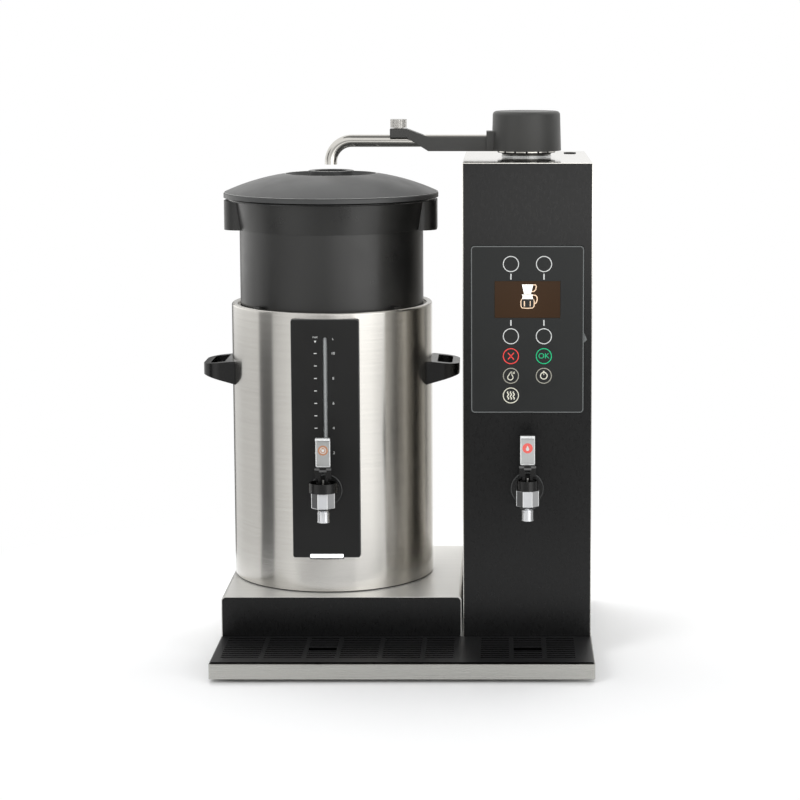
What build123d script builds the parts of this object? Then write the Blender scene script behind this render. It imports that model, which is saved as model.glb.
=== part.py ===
from build123d import *
import os

os.makedirs("parts", exist_ok=True)

# A bulk filter-coffee brewer with one insulated urn. Millimetres, +Z up, the front faces -Y.
# The origin is on the counter, in the middle of the brewer's footprint with its urn handle.

# ---------------------------------------------------------------- driving dimensions

# Clearances
panel_gap = 0.3  # beside a fitted plate or cover
seat_gap = 0.2  # under or beside a piece that lifts off
running_fit = 0.1  # radial, round what turns or slides

# Base
base_depth = 492.0
base_wall = 3.0
base_floor = 2.0
base_corner = 3.0
lip_height = 22.5
lip_edge = 1.0
cross_wall = 7.0
foot_height = 6.0
foot_radius = 12.0
foot_inset = 32.0

# Drip tray and its cover
tray_depth = 150.0  # from the front of the base to the shelf and the column
tray_wall = 1.2
tray_side_play = 0.8
tray_corner = 1.5
cover_thickness = 2.1
cover_inset = 1.0
cover_edge = 1.2
cover_rim_drop = 1.0
slot_count = 11
slot_pitch = 10.3
slot_width = 3.4
slot_group_gap = 7.0
wide_group = 56.0
narrow_group = 42.0
left_groups = (wide_group, wide_group, narrow_group, wide_group, wide_group, narrow_group)
right_groups = (narrow_group, narrow_group, narrow_group)
left_groups_inset = 14.0
right_groups_inset = 28.0
slots_from_front = 33.2
finger_slot_depth = 16.0
finger_slot_from_front = 77.5
finger_group_left = 2
finger_group_right = 1

# Shelf and column
case_sheet = 1.0
case_inset = 1.3  # from the side of the base
shelf_height = 84.9
shelf_radius = 5.0
shelf_column_gap = 2.9
contact_radius = 22.0
contact_depth = 14.0
contact_flange = 3.0
contact_behind_urn_axis = 70.0
front_plate = 2.0
column_width = 194.0
column_radius = 1.6
back_recess = 14.0
back_plate = 1.5
flange_width = 12.0
vent_radius = 8.5
vent_from_back = 64.5
vent_from_side = 26.2
grommet_flange = 1.2
grommet_wall = 1.4
grommet_depth = 6.0

# Rear connections
screw_head_radius = 3.6
screw_head_height = 2.2
screw_shank_radius = 1.9
screw_length = 7.0
screw_side_inset = 6.5
screw_end_inset = 24.0
screw_rows = 4
inlet_height = 92.0
inlet_thread_radius = 13.2
inlet_thread_depth = 0.9
inlet_relief = 1.0  # plain neck between the rear cover and the thread
inlet_bore = 8.0
inlet_flange_radius = 19.0
inlet_flange = 4.0
inlet_body = (34.0, 44.0, 40.0)
inlet_bend = 20.0
gland_height = 92.0
gland_offset = 52.0
gland_flange_radius = 12.0
gland_flange = 4.0
gland_dome = 6.5
gland_dome_radius = 10.0
gland_thread_radius = 8.0
gland_thread_length = 12.0
gland_bore = 4.5

# Control panel
panel_width = 170.0
panel_height = 253.0
panel_from_base = 368.7
panel_thickness = 3.0
panel_proud = 1.0
panel_radius = 6.0
panel_edge = 0.5
display_width = 98.7
display_height = 55.6
display_sink = 0.3
display_share = 0.57  # of the panel's height, panel bottom to display bottom
key_radius = 12.5
key_thickness = 2.4
key_stem_radius = 3.5
key_travel = 0.5
key_half_pitch = 24.7
key_row_shares = (0.891, 0.461, 0.342, 0.2245, 0.106)  # of the panel's height, from below
board_distance = 9.0
board_thickness = 1.6
board_margin = 10.0
standoff_radius = 3.0

# Boiler
boiler_radius = 70.0
boiler_wall = 1.5
boiler_from_base = 140.0
boiler_height = 330.0
boiler_skirt_wall = 2.0
boiler_skirt_opening = 84.0
boiler_lid_overhang = 3.0
boiler_lid_thickness = 3.0
element_radius = 4.2
element_half_span = 20.0
element_bend = 18.0
element_offset = 36.0
element_bottom_gap = 45.0
port_radius = 10.0
port_length = 9.0
pipe_radius = 7.0
pipe_bore = 5.4

# Hub and swing arm
arm_over_column = 24.3
collar_radius = 38.0
collar_height = 9.4
collar_edge = 2.0
spindle_radius = 15.0
spindle_below = 30.0
riser_insert = 18.0
turntable_radius = 49.0
turntable_thickness = 3.0
cap_radius = 52.5
cap_flare = 1.8
cap_height = 61.2
cap_wall = 3.0
cap_shoulder = 6.0
cap_dish = 2.4
root_length = 10.0
root_half_width = 17.0
root_above_arm = 15.4
spout_radius = 9.6
spout_wall = 1.4
spout_bend = 33.0
spout_drop = 36.9
spout_clearance = 9.2  # spout end above the lid's ring
bracket_half_width = 14.0
trough_reach = 153.3  # hub axis to the trough's far end
trough_below = 15.6
trough_above = 6.4
saddle_length = 26.0
saddle_gap = 33.6
saddle_low = 5.4  # both above the arm's axis
saddle_high = 18.9
knob_radius = 12.8
knob_height = 13.0
knob_neck_radius = 8.0
knob_neck_height = 1.5
knob_flutes = 24
knob_flute_radius = 1.0
knob_screw_radius = 3.0

# Urn
urn_radius = 157.6
urn_wall = 1.5
urn_height = 432.1
urn_side_margin = 3.1  # the base's left side to the urn
urn_from_back = 159.0
rim_width = 9.6
rim_depth = 8.0
rim_radius = 3.5
urn_foot_height = 1.7
urn_foot_inset = 1.0
urn_base_height = 16.0
urn_base_wall = 2.0
insulation = 28.6  # outside of the shell to the vessel's bore
vessel_wall = 1.5
urn_tap_from_shelf = 160.6
floor_above_tap = 11.5
sump_inset = 1.0
sump_length = 42.0
sump_drop_radius = 6.0
sump_wall = 5.0
heater_sump_gap = 8.0
heater_thickness = 6.0

# Gauge panel on the urn
gauge_width = 103.0
gauge_height = 366.9
gauge_from_shelf = 55.5
gauge_corner = 3.5
gauge_proud = 0.7
gauge_depth = 12.0
gauge_wall = 2.5
gauge_slot_width = 7.8
gauge_slot_corner = 3.1
gauge_slot_low = 24.0  # above the tap
gauge_slot_top = 395.0  # above the shelf
gauge_tube_radius = 4.4
gauge_tube_bore = 3.2
light_width = 52.0
light_height = 8.0
light_below = 2.9
light_proud = 0.4
light_depth = 6.0
light_corner = 2.2

# Urn handles
handle_reach = 43.4
handle_width = 100.0
handle_top = 342.0  # above the shelf, at the shell
handle_top_drop = 4.5
handle_root_height = 36.5
handle_tip_height = 17.0
handle_wall = 11.0
handle_root_wall = 9.0
handle_corner = 27.0
handle_hole_corner = 9.0
handle_edge = 2.5
handle_column_gap = 8.0

# Filter basket and lid
basket_rim_gap = 4.2  # beside the urn's rim
basket_wall = 2.0
basket_ledge = 116.5  # above the urn's rim
basket_ledge_step = 1.7
basket_flare = 8.2
basket_top = 160.5
basket_flange_width = 8.0
basket_flange = 4.5
basket_drain_radius = 7.0
basket_drain_length = 14.0
lug_width = 14.0
lug_length = 9.0
lug_height = 3.4
lug_count = 4
lug_start_angle = 45.0
ear_overhang = 6.0  # beyond the basket's flange
ear_width = 92.0
ear_low = 115.1
ear_corner = 24.0
ear_wall = 3.0
support_side_gap = 5.8
support_thickness = 1.5
support_height = 7.0
support_leg_radius = 3.5
support_leg_inset = 24.0
support_leg_count = 8
support_hole_radius = 5.0
support_ring_count = 5
support_hole_count = 6  # in the first ring, and as many more in each ring outside it
lid_overhang = 8.0  # beyond the basket's flange
lid_rim_height = 8.6
lid_wall = 2.4
lid_dome = 27.4
lid_dome_middle = 17.0
lid_recess_share = 0.427  # of the lid's radius
lid_recess_depth = 9.0
lid_ring_radius = 35.0
lid_ring_height = 32.2  # above the lid's rim
lid_hole_radius = 26.0
lid_skirt_gap = 1.8
lid_skirt_depth = 8.0

# Taps
hot_tap_from_base = 253.1
hot_tap_reach = 50.0
hot_tap_tail = 30.0
hot_bonnet_radius = 15.5
hot_body_width = 32.7
urn_tap_reach = 52.7
urn_bonnet_radius = 21.5
urn_body_width = 34.5
rosette_radius = 25.8
rosette_thickness = 2.2
rosette_edge = 1.5
tail_radius = 8.0
tap_bore = 5.5
neck_radius = 7.4
nozzle_radius = 9.3
body_below = 18.5
body_above = 8.0
body_corner = 3.2
body_sides = 8
nozzle_low = 38.3
nozzle_high = 20.8
chamber_radius = 10.0
chamber_floor = 7.0
bonnet_height = 14.5
bonnet_wall = 2.2
bonnet_floor = 3.0
spigot_height = 2.4
pivot_below_bonnet_top = 4.5
trunnion_radius = 2.0
ear_plate = 2.8
fork_half_width = 7.4
fork_half_depth = 5.0
fork_slot = 3.6
fork_foot = 4.2
fork_head_low = 11.0
fork_head_half_width = 12.2
fork_head_half_depth = 5.6
fork_slot_top = 20.0
fork_top = 28.0
plate_half_width = 10.9
plate_top = 72.5
plate_thickness = 1.6
plate_lip = 6.5
stem_radius = 2.6
stem_top = 8.0
stem_seat_radius = 8.4
stem_seat_height = 3.0

# ---------------------------------------------------------------- sizes that follow

vessel_radius = urn_radius - insulation
sump_front = vessel_radius - sump_inset
sump_back = sump_front - sump_length
heater_radius = sump_back - heater_sump_gap
handle_tip_radius = urn_radius + handle_reach
basket_radius = urn_radius - rim_width - basket_rim_gap
basket_ledge_radius = basket_radius + basket_ledge_step
basket_top_radius = basket_radius + basket_flare
basket_flange_radius = basket_top_radius + basket_flange_width
ear_reach = basket_flange_radius + ear_overhang
basket_inner = basket_radius - basket_wall
top_inner = basket_top_radius - basket_wall
support_radius = basket_inner - support_side_gap
lid_radius = basket_flange_radius + lid_overhang
lid_skirt_radius = top_inner - lid_skirt_gap
lid_recess_radius = lid_radius * lid_recess_share

urn_from_left = urn_side_margin + urn_radius
column_from_left = urn_from_left + handle_tip_radius + handle_column_gap
base_width = column_from_left + column_width + case_inset

# ---------------------------------------------------------------- places

side_overhang = max(0.0, handle_tip_radius - urn_from_left)
back_overhang = max(0.0, lid_radius - urn_from_back)
x_right = (base_width + side_overhang) / 2
x_left = x_right - base_width
y_front = -(base_depth + back_overhang) / 2
y_back = y_front + base_depth
y_case = y_front + tray_depth
y_cover = y_back - back_recess  # outer face of the column's rear cover
x_column_right = x_right - case_inset
x_column_left = x_column_right - column_width
x_column = (x_column_left + x_column_right) / 2
x_shelf_left = x_left + case_inset
x_shelf_right = x_column_left - shelf_column_gap
x_urn = x_left + urn_from_left
y_urn = y_back - urn_from_back
x_hub = x_column
y_hub = y_urn
contact_y = y_urn + contact_behind_urn_axis

z_base = foot_height
z_floor = z_base + base_floor
z_lip = z_base + lip_height
z_tray_rim = z_lip - cover_rim_drop
z_shelf = z_base + shelf_height
z_rim = z_shelf + urn_height
z_seat = z_rim - rim_depth  # underside of the urn's rim, top of the vessel's flange
z_ledge = z_rim + basket_ledge
z_basket_top = z_rim + basket_top
z_lid = z_basket_top + basket_flange + seat_gap
z_ring_top = z_lid + lid_rim_height + lid_ring_height
z_spout = z_ring_top + spout_clearance
z_arm = z_spout + spout_drop
z_column = z_arm - arm_over_column
z_collar = z_column + collar_height
z_turntable = z_collar + seat_gap
z_cap = z_turntable
z_panel = z_base + panel_from_base
z_hot_tap = z_base + hot_tap_from_base
z_urn_tap = z_shelf + urn_tap_from_shelf
z_gauge = z_shelf + gauge_from_shelf
y_gauge = y_urn - urn_radius - gauge_proud
z_boiler = z_base + boiler_from_base
z_boiler_top = z_boiler + boiler_height

urn_axis = Axis((x_urn, y_urn, 0), (0, 0, 1))
urn_section = Plane(origin=(x_urn, y_urn, 0), x_dir=(1, 0, 0), z_dir=(0, -1, 0))
hub_axis = Axis((x_hub, y_hub, 0), (0, 0, 1))
hub_section = Plane(origin=(x_hub, y_hub, 0), x_dir=(1, 0, 0), z_dir=(0, -1, 0))


# ---------------------------------------------------------------- shared shapes


def slab(x, y, z, mode=Mode.ADD):
    """A block between three (low, high) spans, in the part that is being built."""
    with Locations(((x[0] + x[1]) / 2, (y[0] + y[1]) / 2, (z[0] + z[1]) / 2)):
        Box(x[1] - x[0], y[1] - y[0], z[1] - z[0], mode=mode)


def disc(x, y, z, radius, mode=Mode.ADD):
    """An upright cylinder over the (low, high) span z."""
    with Locations((x, y, (z[0] + z[1]) / 2)):
        Cylinder(radius, z[1] - z[0], mode=mode)


def rod_y(x, y, z, radius, mode=Mode.ADD):
    """A cylinder along Y over the (low, high) span y."""
    with Locations((x, (y[0] + y[1]) / 2, z)):
        Cylinder(radius, y[1] - y[0], rotation=(90, 0, 0), mode=mode)


def rod_x(x, y, z, radius, mode=Mode.ADD):
    """A cylinder along X over the (low, high) span x."""
    with Locations(((x[0] + x[1]) / 2, y, z)):
        Cylinder(radius, x[1] - x[0], rotation=(0, 90, 0), mode=mode)


def turned(plane, axis, points, mode=Mode.ADD):
    """A solid of revolution from a closed outline of (radius, height) points."""
    with BuildSketch(plane) as profile:
        with BuildLine():
            Polyline(*points, close=True)
        make_face()
    revolve(profile.sketch, axis=axis, mode=mode)


def front_plane(y):
    """An XZ drawing plane at y. A negative extrusion goes back, towards +Y."""
    return Plane.XZ.offset(-y)


def plate(x, z, y, thickness, radius, mode=Mode.ADD):
    """A rounded plate facing the front, from its face at y backwards."""
    with BuildSketch(front_plane(y)) as outline:
        with Locations(((x[0] + x[1]) / 2, (z[0] + z[1]) / 2)):
            RectangleRounded(x[1] - x[0], z[1] - z[0], radius)
    extrude(outline.sketch, amount=-thickness, mode=mode)


def wider(span, by):
    return (span[0] - by, span[1] + by)


def save(piece, name):
    piece.part.label = name
    export_step(piece.part, f"parts/{name}.step")


# ---------------------------------------------------------------- base

tray_well_x = (x_left + base_wall, x_right - base_wall)
tray_well_y = (y_front + base_wall, y_case - panel_gap)
cross_back = y_case + cross_wall
shelf_bay_x = (x_left + base_wall, x_shelf_right - base_wall)
column_bay_x = (x_column_left + base_wall, x_right - base_wall)

with BuildPart() as base_frame:
    slab((x_left, x_right), (y_front, y_back), (z_base, z_lip))
    fillet(base_frame.edges().filter_by(Axis.Z), base_corner)
    fillet(base_frame.faces().sort_by(Axis.Z)[-1].edges(), lip_edge)
    slab(tray_well_x, tray_well_y, (z_floor, z_lip), mode=Mode.SUBTRACT)
    for bay_x in (shelf_bay_x, column_bay_x):
        slab(bay_x, (cross_back, y_back - base_wall), (z_floor, z_lip), mode=Mode.SUBTRACT)
    # The cover lies on the side walls, which are lower than the lip beside the tray.
    slab((x_left, x_right), tray_well_y, (z_tray_rim, z_lip), mode=Mode.SUBTRACT)
save(base_frame, "base_frame")

with BuildPart() as base_feet:
    for x in (x_left + foot_inset, x_right - foot_inset):
        for y in (y_front + foot_inset, y_back - foot_inset):
            disc(x, y, (0, z_base), foot_radius)
save(base_feet, "base_feet")

# ---------------------------------------------------------------- drip tray

tray_x = wider(tray_well_x, -tray_side_play)
tray_y = wider(tray_well_y, -tray_side_play)

with BuildPart() as drip_tray:
    slab(tray_x, tray_y, (z_floor + seat_gap, z_tray_rim))
    fillet(drip_tray.edges().filter_by(Axis.Z), tray_corner)
    offset(amount=-tray_wall, openings=drip_tray.faces().sort_by(Axis.Z)[-1])
save(drip_tray, "drip_tray")

cover_z = (z_tray_rim + seat_gap, z_tray_rim + seat_gap + cover_thickness)
cover_x = (x_left + cover_inset, x_right - cover_inset)
cover_y = (tray_well_y[0] + cover_inset, tray_well_y[1])
slots_start = y_front + slots_from_front
finger_y = y_front + finger_slot_from_front
group_rows = [slots_start + row * slot_pitch for row in range(slot_count)]


def slot_row(x, y, width):
    """One rectangular opening over the (low, high) span x, centred on y, in a sketch."""
    with Locations(((x[0] + x[1]) / 2, y)):
        Rectangle(x[1] - x[0], width)


def slot_group(x, has_finger_slot):
    """One group of drain slots, with a finger slot in place of the rows it covers."""
    clear = (finger_slot_depth + slot_width) / 2 + cover_thickness
    for y in group_rows:
        if not has_finger_slot or abs(y - finger_y) > clear:
            slot_row(x, y, slot_width)
    if has_finger_slot:
        slot_row(x, finger_y, finger_slot_depth)


def slot_groups(x, widths, finger_group):
    """Groups of slots side by side, from x towards the right."""
    for number, width in enumerate(widths):
        slot_group((x, x + width), number == finger_group)
        x += width + slot_group_gap


right_groups_width = sum(right_groups) + slot_group_gap * (len(right_groups) - 1)

with BuildPart() as drip_cover:
    slab(cover_x, cover_y, cover_z)
    chamfer(drip_cover.faces().sort_by(Axis.Z)[-1].edges(), cover_edge)
    with BuildSketch(Plane.XY.offset(cover_z[0])):
        slot_groups(x_left + left_groups_inset, left_groups, finger_group_left)
        slot_groups(x_right - right_groups_inset - right_groups_width, right_groups, finger_group_right)
    extrude(amount=cover_thickness, mode=Mode.SUBTRACT)
save(drip_cover, "drip_cover")

# ---------------------------------------------------------------- shelf

with BuildPart() as shelf_core:
    slab(
        (x_shelf_left + case_sheet, x_shelf_right - case_sheet),
        (y_case, y_back - case_sheet),
        (z_lip, z_shelf - case_sheet),
    )
    fillet(shelf_core.edges().filter_by(Axis.Y).group_by(Axis.Z)[-1], shelf_radius - case_sheet)

with BuildPart() as shelf_casing:
    slab((x_shelf_left, x_shelf_right), (y_case, y_back), (z_lip, z_shelf))
    fillet(shelf_casing.edges().filter_by(Axis.Y).group_by(Axis.Z)[-1], shelf_radius)
    add(shelf_core.part, mode=Mode.SUBTRACT)
    disc(x_urn, contact_y, (z_shelf - case_sheet, z_shelf), contact_radius, mode=Mode.SUBTRACT)
save(shelf_casing, "shelf_casing")

with BuildPart() as shelf_front:
    slab(
        (x_shelf_left + case_sheet + panel_gap, x_shelf_right - case_sheet - panel_gap),
        (y_case, y_case + front_plate),
        (z_lip, z_shelf - case_sheet - panel_gap),
    )
    fillet(
        shelf_front.edges().filter_by(Axis.Y).group_by(Axis.Z)[-1],
        shelf_radius - case_sheet - panel_gap,
    )
save(shelf_front, "shelf_front")

with BuildPart() as contact_block:
    disc(x_urn, contact_y, (z_shelf - contact_depth, z_shelf), contact_radius - panel_gap)
    flange_z = (z_shelf - case_sheet - contact_flange, z_shelf - case_sheet)
    disc(x_urn, contact_y, flange_z, contact_radius + contact_flange)
save(contact_block, "contact_block")

# ---------------------------------------------------------------- column

column_inner_x = (x_column_left + case_sheet, x_column_right - case_sheet)
vent_x = x_column_right - vent_from_side
vent_y = y_back - vent_from_back
flange_y = (y_cover - back_plate - case_sheet, y_cover - back_plate)

with BuildPart() as column_casing:
    slab((x_column_left, x_column_right), (y_case, y_back), (z_lip, z_column))
    fillet(column_casing.edges().filter_by(Axis.Y).group_by(Axis.Z)[-1], column_radius)
    slab(column_inner_x, (y_case, y_back), (z_lip, z_column - case_sheet), mode=Mode.SUBTRACT)
    # Return flanges that carry the rear cover
    left_flange = (column_inner_x[0], column_inner_x[0] + flange_width)
    right_flange = (column_inner_x[1] - flange_width, column_inner_x[1])
    for flange_x in (left_flange, right_flange):
        slab(flange_x, flange_y, (z_lip, z_column - case_sheet))
    top_sheet = (z_column - case_sheet, z_column)
    disc(x_hub, y_hub, top_sheet, spindle_radius + 2 * running_fit, mode=Mode.SUBTRACT)
    disc(vent_x, vent_y, top_sheet, vent_radius, mode=Mode.SUBTRACT)
    screw_x = (column_inner_x[0] + screw_side_inset, column_inner_x[1] - screw_side_inset)
    screw_span = z_column - z_lip - 2 * screw_end_inset
    screw_z = [z_lip + screw_end_inset + screw_span * row / (screw_rows - 1) for row in range(screw_rows)]
    for x in screw_x:
        for z in screw_z:
            rod_y(x, flange_y, z, screw_shank_radius + running_fit, mode=Mode.SUBTRACT)
save(column_casing, "column_casing")

panel_x = (x_column - panel_width / 2, x_column + panel_width / 2)
panel_z = (z_panel, z_panel + panel_height)

with BuildPart() as column_front:
    slab(
        wider(column_inner_x, -panel_gap),
        (y_case, y_case + front_plate),
        (z_lip, z_column - case_sheet - panel_gap),
    )
    plate(
        wider(panel_x, panel_gap),
        wider(panel_z, panel_gap),
        y_case,
        front_plate,
        panel_radius + panel_gap,
        mode=Mode.SUBTRACT,
    )
    rod_y(x_column, (y_case, y_case + front_plate), z_hot_tap, tail_radius + panel_gap, mode=Mode.SUBTRACT)
save(column_front, "column_front")

z_inlet = z_base + inlet_height
z_gland = z_base + gland_height
x_gland = x_column + gland_offset
x_inlet = x_column
cover_span_y = (y_cover - back_plate, y_cover)

with BuildPart() as column_back:
    slab(
        wider(column_inner_x, -panel_gap),
        cover_span_y,
        (z_lip, z_column - case_sheet - panel_gap),
    )
    rod_y(x_inlet, cover_span_y, z_inlet, inlet_thread_radius + panel_gap, mode=Mode.SUBTRACT)
    rod_y(x_gland, cover_span_y, z_gland, gland_thread_radius + panel_gap, mode=Mode.SUBTRACT)
    for x in screw_x:
        for z in screw_z:
            rod_y(x, cover_span_y, z, screw_shank_radius + panel_gap, mode=Mode.SUBTRACT)
save(column_back, "column_back")

with BuildPart() as case_screws:
    for x in screw_x:
        for z in screw_z:
            rod_y(x, (y_cover, y_cover + screw_head_height), z, screw_head_radius)
            rod_y(x, (y_cover - screw_length, y_cover), z, screw_shank_radius)
save(case_screws, "case_screws")

with BuildPart() as column_grommet:
    disc(vent_x, vent_y, (z_column, z_column + grommet_flange), vent_radius + grommet_flange)
    disc(vent_x, vent_y, (z_column - grommet_depth, z_column), vent_radius - panel_gap)
    grommet_z = (z_column - grommet_depth, z_column + grommet_flange)
    disc(vent_x, vent_y, grommet_z, vent_radius - panel_gap - grommet_wall, mode=Mode.SUBTRACT)
save(column_grommet, "column_grommet")

# ---------------------------------------------------------------- control panel

y_panel = y_case - panel_proud
y_panel_back = y_panel + panel_thickness
y_board = y_panel + board_distance
display_x = (x_column - display_width / 2, x_column + display_width / 2)
z_display = z_panel + panel_height * display_share
display_z = (z_display, z_display + display_height)
last_row = len(key_row_shares) - 1
key_places = [
    (x_column + side * key_half_pitch, z_panel + panel_height * share)
    for number, share in enumerate(key_row_shares)
    for side in (-1, 1)
    if not (number == last_row and side == 1)
]

with BuildPart() as panel_bezel:
    plate(panel_x, panel_z, y_panel, panel_thickness, panel_radius)
    chamfer(panel_bezel.faces().sort_by(Axis.Y)[0].edges(), panel_edge)
    slab(display_x, (y_panel, y_panel_back), display_z, mode=Mode.SUBTRACT)
    for x, z in key_places:
        rod_y(x, (y_panel, y_panel_back), z, key_radius, mode=Mode.SUBTRACT)
save(panel_bezel, "panel_bezel")

with BuildPart() as display_screen:
    slab(
        wider(display_x, -panel_gap),
        (y_panel + display_sink, y_board),
        wider(display_z, -panel_gap),
    )
save(display_screen, "display_screen")

for number, (x, z) in enumerate(key_places, start=1):
    with BuildPart() as key:
        rod_y(x, (y_panel, y_panel + key_thickness), z, key_radius - panel_gap)
        rod_y(x, (y_panel + key_thickness, y_board - key_travel - seat_gap), z, key_stem_radius)
    save(key, f"key_{number}")

with BuildPart() as control_board:
    board_x = wider(panel_x, -board_margin)
    board_z = wider(panel_z, -board_margin)
    slab(board_x, (y_board, y_board + board_thickness), board_z)
    for x in wider(board_x, -2 * standoff_radius):
        for z in wider(board_z, -2 * standoff_radius):
            rod_y(x, (y_panel_back, y_board), z, standoff_radius)
save(control_board, "control_board")

# ---------------------------------------------------------------- boiler

z_boiler_floor = z_boiler + boiler_wall
y_port_front = y_hub - boiler_radius - port_length
y_port_back = y_hub + boiler_radius + port_length

with BuildPart() as boiler_tank:
    disc(x_hub, y_hub, (z_floor, z_boiler_top), boiler_radius)
    rod_y(x_hub, (y_port_front, y_hub), z_hot_tap, port_radius)
    rod_y(x_hub, (y_hub, y_port_back), z_boiler_floor + 2 * port_radius, port_radius)
    disc(x_hub, y_hub, (z_boiler_floor, z_boiler_top), boiler_radius - boiler_wall, mode=Mode.SUBTRACT)
    disc(x_hub, y_hub, (z_floor, z_boiler), boiler_radius - boiler_skirt_wall, mode=Mode.SUBTRACT)
    rod_y(x_hub, (y_port_front, y_hub), z_hot_tap, pipe_bore, mode=Mode.SUBTRACT)
    rod_y(x_hub, (y_hub, y_port_back), z_boiler_floor + 2 * port_radius, pipe_bore, mode=Mode.SUBTRACT)
    # Openings in the skirt, which leave four legs
    leg_top = z_boiler - boiler_skirt_wall
    opening = (-boiler_skirt_opening / 2, boiler_skirt_opening / 2)
    through = (-boiler_radius, boiler_radius)
    for across, along in ((opening, through), (through, opening)):
        slab(
            (x_hub + across[0], x_hub + across[1]),
            (y_hub + along[0], y_hub + along[1]),
            (z_floor, leg_top),
            mode=Mode.SUBTRACT,
        )
save(boiler_tank, "boiler_tank")

lid_z = (z_boiler_top, z_boiler_top + boiler_lid_thickness)

with BuildPart() as boiler_lid:
    disc(x_hub, y_hub, lid_z, boiler_radius + boiler_lid_overhang)
    disc(x_hub, y_hub, lid_z, pipe_bore, mode=Mode.SUBTRACT)
save(boiler_lid, "boiler_lid")

with BuildPart() as heating_element:
    bend_z = z_boiler_floor + element_bottom_gap
    y_element = y_hub + element_offset
    with BuildLine() as element_path:
        FilletPolyline(
            (x_hub - element_half_span, y_element, z_boiler_top),
            (x_hub - element_half_span, y_element, bend_z),
            (x_hub + element_half_span, y_element, bend_z),
            (x_hub + element_half_span, y_element, z_boiler_top),
            radius=element_bend,
        )
    with BuildSketch(Plane(origin=element_path.line @ 0, z_dir=element_path.line % 0)):
        Circle(element_radius)
    sweep()
save(heating_element, "heating_element")

with BuildPart() as inlet_valve:
    y_body = y_cover - back_plate - inlet_flange
    width, length, height = inlet_body
    slab(
        (x_inlet - width / 2, x_inlet + width / 2),
        (y_body - length / 2, y_body),
        (z_inlet - height / 2, z_inlet + height / 2),
    )
    rod_y(x_inlet, (y_body, y_cover - back_plate), z_inlet, inlet_flange_radius)
    y_thread = y_cover + inlet_relief
    rod_y(x_inlet, (y_cover - back_plate, y_thread), z_inlet, inlet_thread_radius - inlet_thread_depth)
    rod_y(x_inlet, (y_thread, y_back), z_inlet, inlet_thread_radius)
    # The feed turns up from the valve to the height of the boiler's port.
    feed_y = y_body - length / 4
    feed_z = z_boiler_floor + 2 * port_radius
    with BuildLine() as feed:
        FilletPolyline(
            (x_inlet, y_port_back, feed_z),
            (x_inlet, feed_y, feed_z),
            (x_inlet, feed_y, z_inlet),
            radius=inlet_bend,
        )
    for radius, mode in ((pipe_radius, Mode.ADD), (pipe_bore, Mode.SUBTRACT)):
        with BuildSketch(Plane(origin=feed.line @ 0, z_dir=feed.line % 0)):
            Circle(radius)
        sweep(path=feed.line, mode=mode)
    rod_y(x_inlet, (feed_y, y_back), z_inlet, inlet_bore, mode=Mode.SUBTRACT)
save(inlet_valve, "inlet_valve")

with BuildPart() as hot_water_pipe:
    y_tail = y_case + hot_tap_tail
    rod_y(x_hub, (y_tail, y_port_front), z_hot_tap, pipe_radius)
    rod_y(x_hub, (y_tail, y_port_front), z_hot_tap, pipe_bore, mode=Mode.SUBTRACT)
save(hot_water_pipe, "hot_water_pipe")

z_spindle_low = z_column - spindle_below

with BuildPart() as brew_pipe:
    brew_z = (lid_z[1], z_spindle_low + riser_insert)
    disc(x_hub, y_hub, brew_z, pipe_radius)
    disc(x_hub, y_hub, brew_z, pipe_bore, mode=Mode.SUBTRACT)
save(brew_pipe, "brew_pipe")

with BuildPart() as cable_gland:
    rod_y(x_gland, (y_cover, y_cover + gland_flange), z_gland, gland_flange_radius)
    rod_y(x_gland, (y_cover - gland_thread_length, y_cover), z_gland, gland_thread_radius)
    dome_y = (y_cover + gland_flange, y_cover + gland_flange + gland_dome)
    rod_y(x_gland, dome_y, z_gland, gland_dome_radius)
    fillet(cable_gland.faces().sort_by(Axis.Y)[-1].edges(), gland_dome / 2)
    rod_y(x_gland, (y_cover - gland_thread_length, dome_y[1]), z_gland, gland_bore, mode=Mode.SUBTRACT)
save(cable_gland, "cable_gland")

# ---------------------------------------------------------------- hub and swing arm

with BuildPart() as hub_collar:
    disc(x_hub, y_hub, (z_column, z_collar), collar_radius)
    fillet(hub_collar.faces().sort_by(Axis.Z)[-1].edges(), collar_edge)
    disc(x_hub, y_hub, (z_column, z_collar), spindle_radius + running_fit, mode=Mode.SUBTRACT)
save(hub_collar, "hub_collar")

# Distances along the arm are measured from the hub's axis towards the urn, which is -X.
trough_x = (x_hub - trough_reach, x_hub - spindle_radius)
saddle_end = trough_x[0] - saddle_gap
saddle_x = (saddle_end - saddle_length, saddle_end)
bracket_y = (y_hub - bracket_half_width, y_hub + bracket_half_width)

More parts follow.
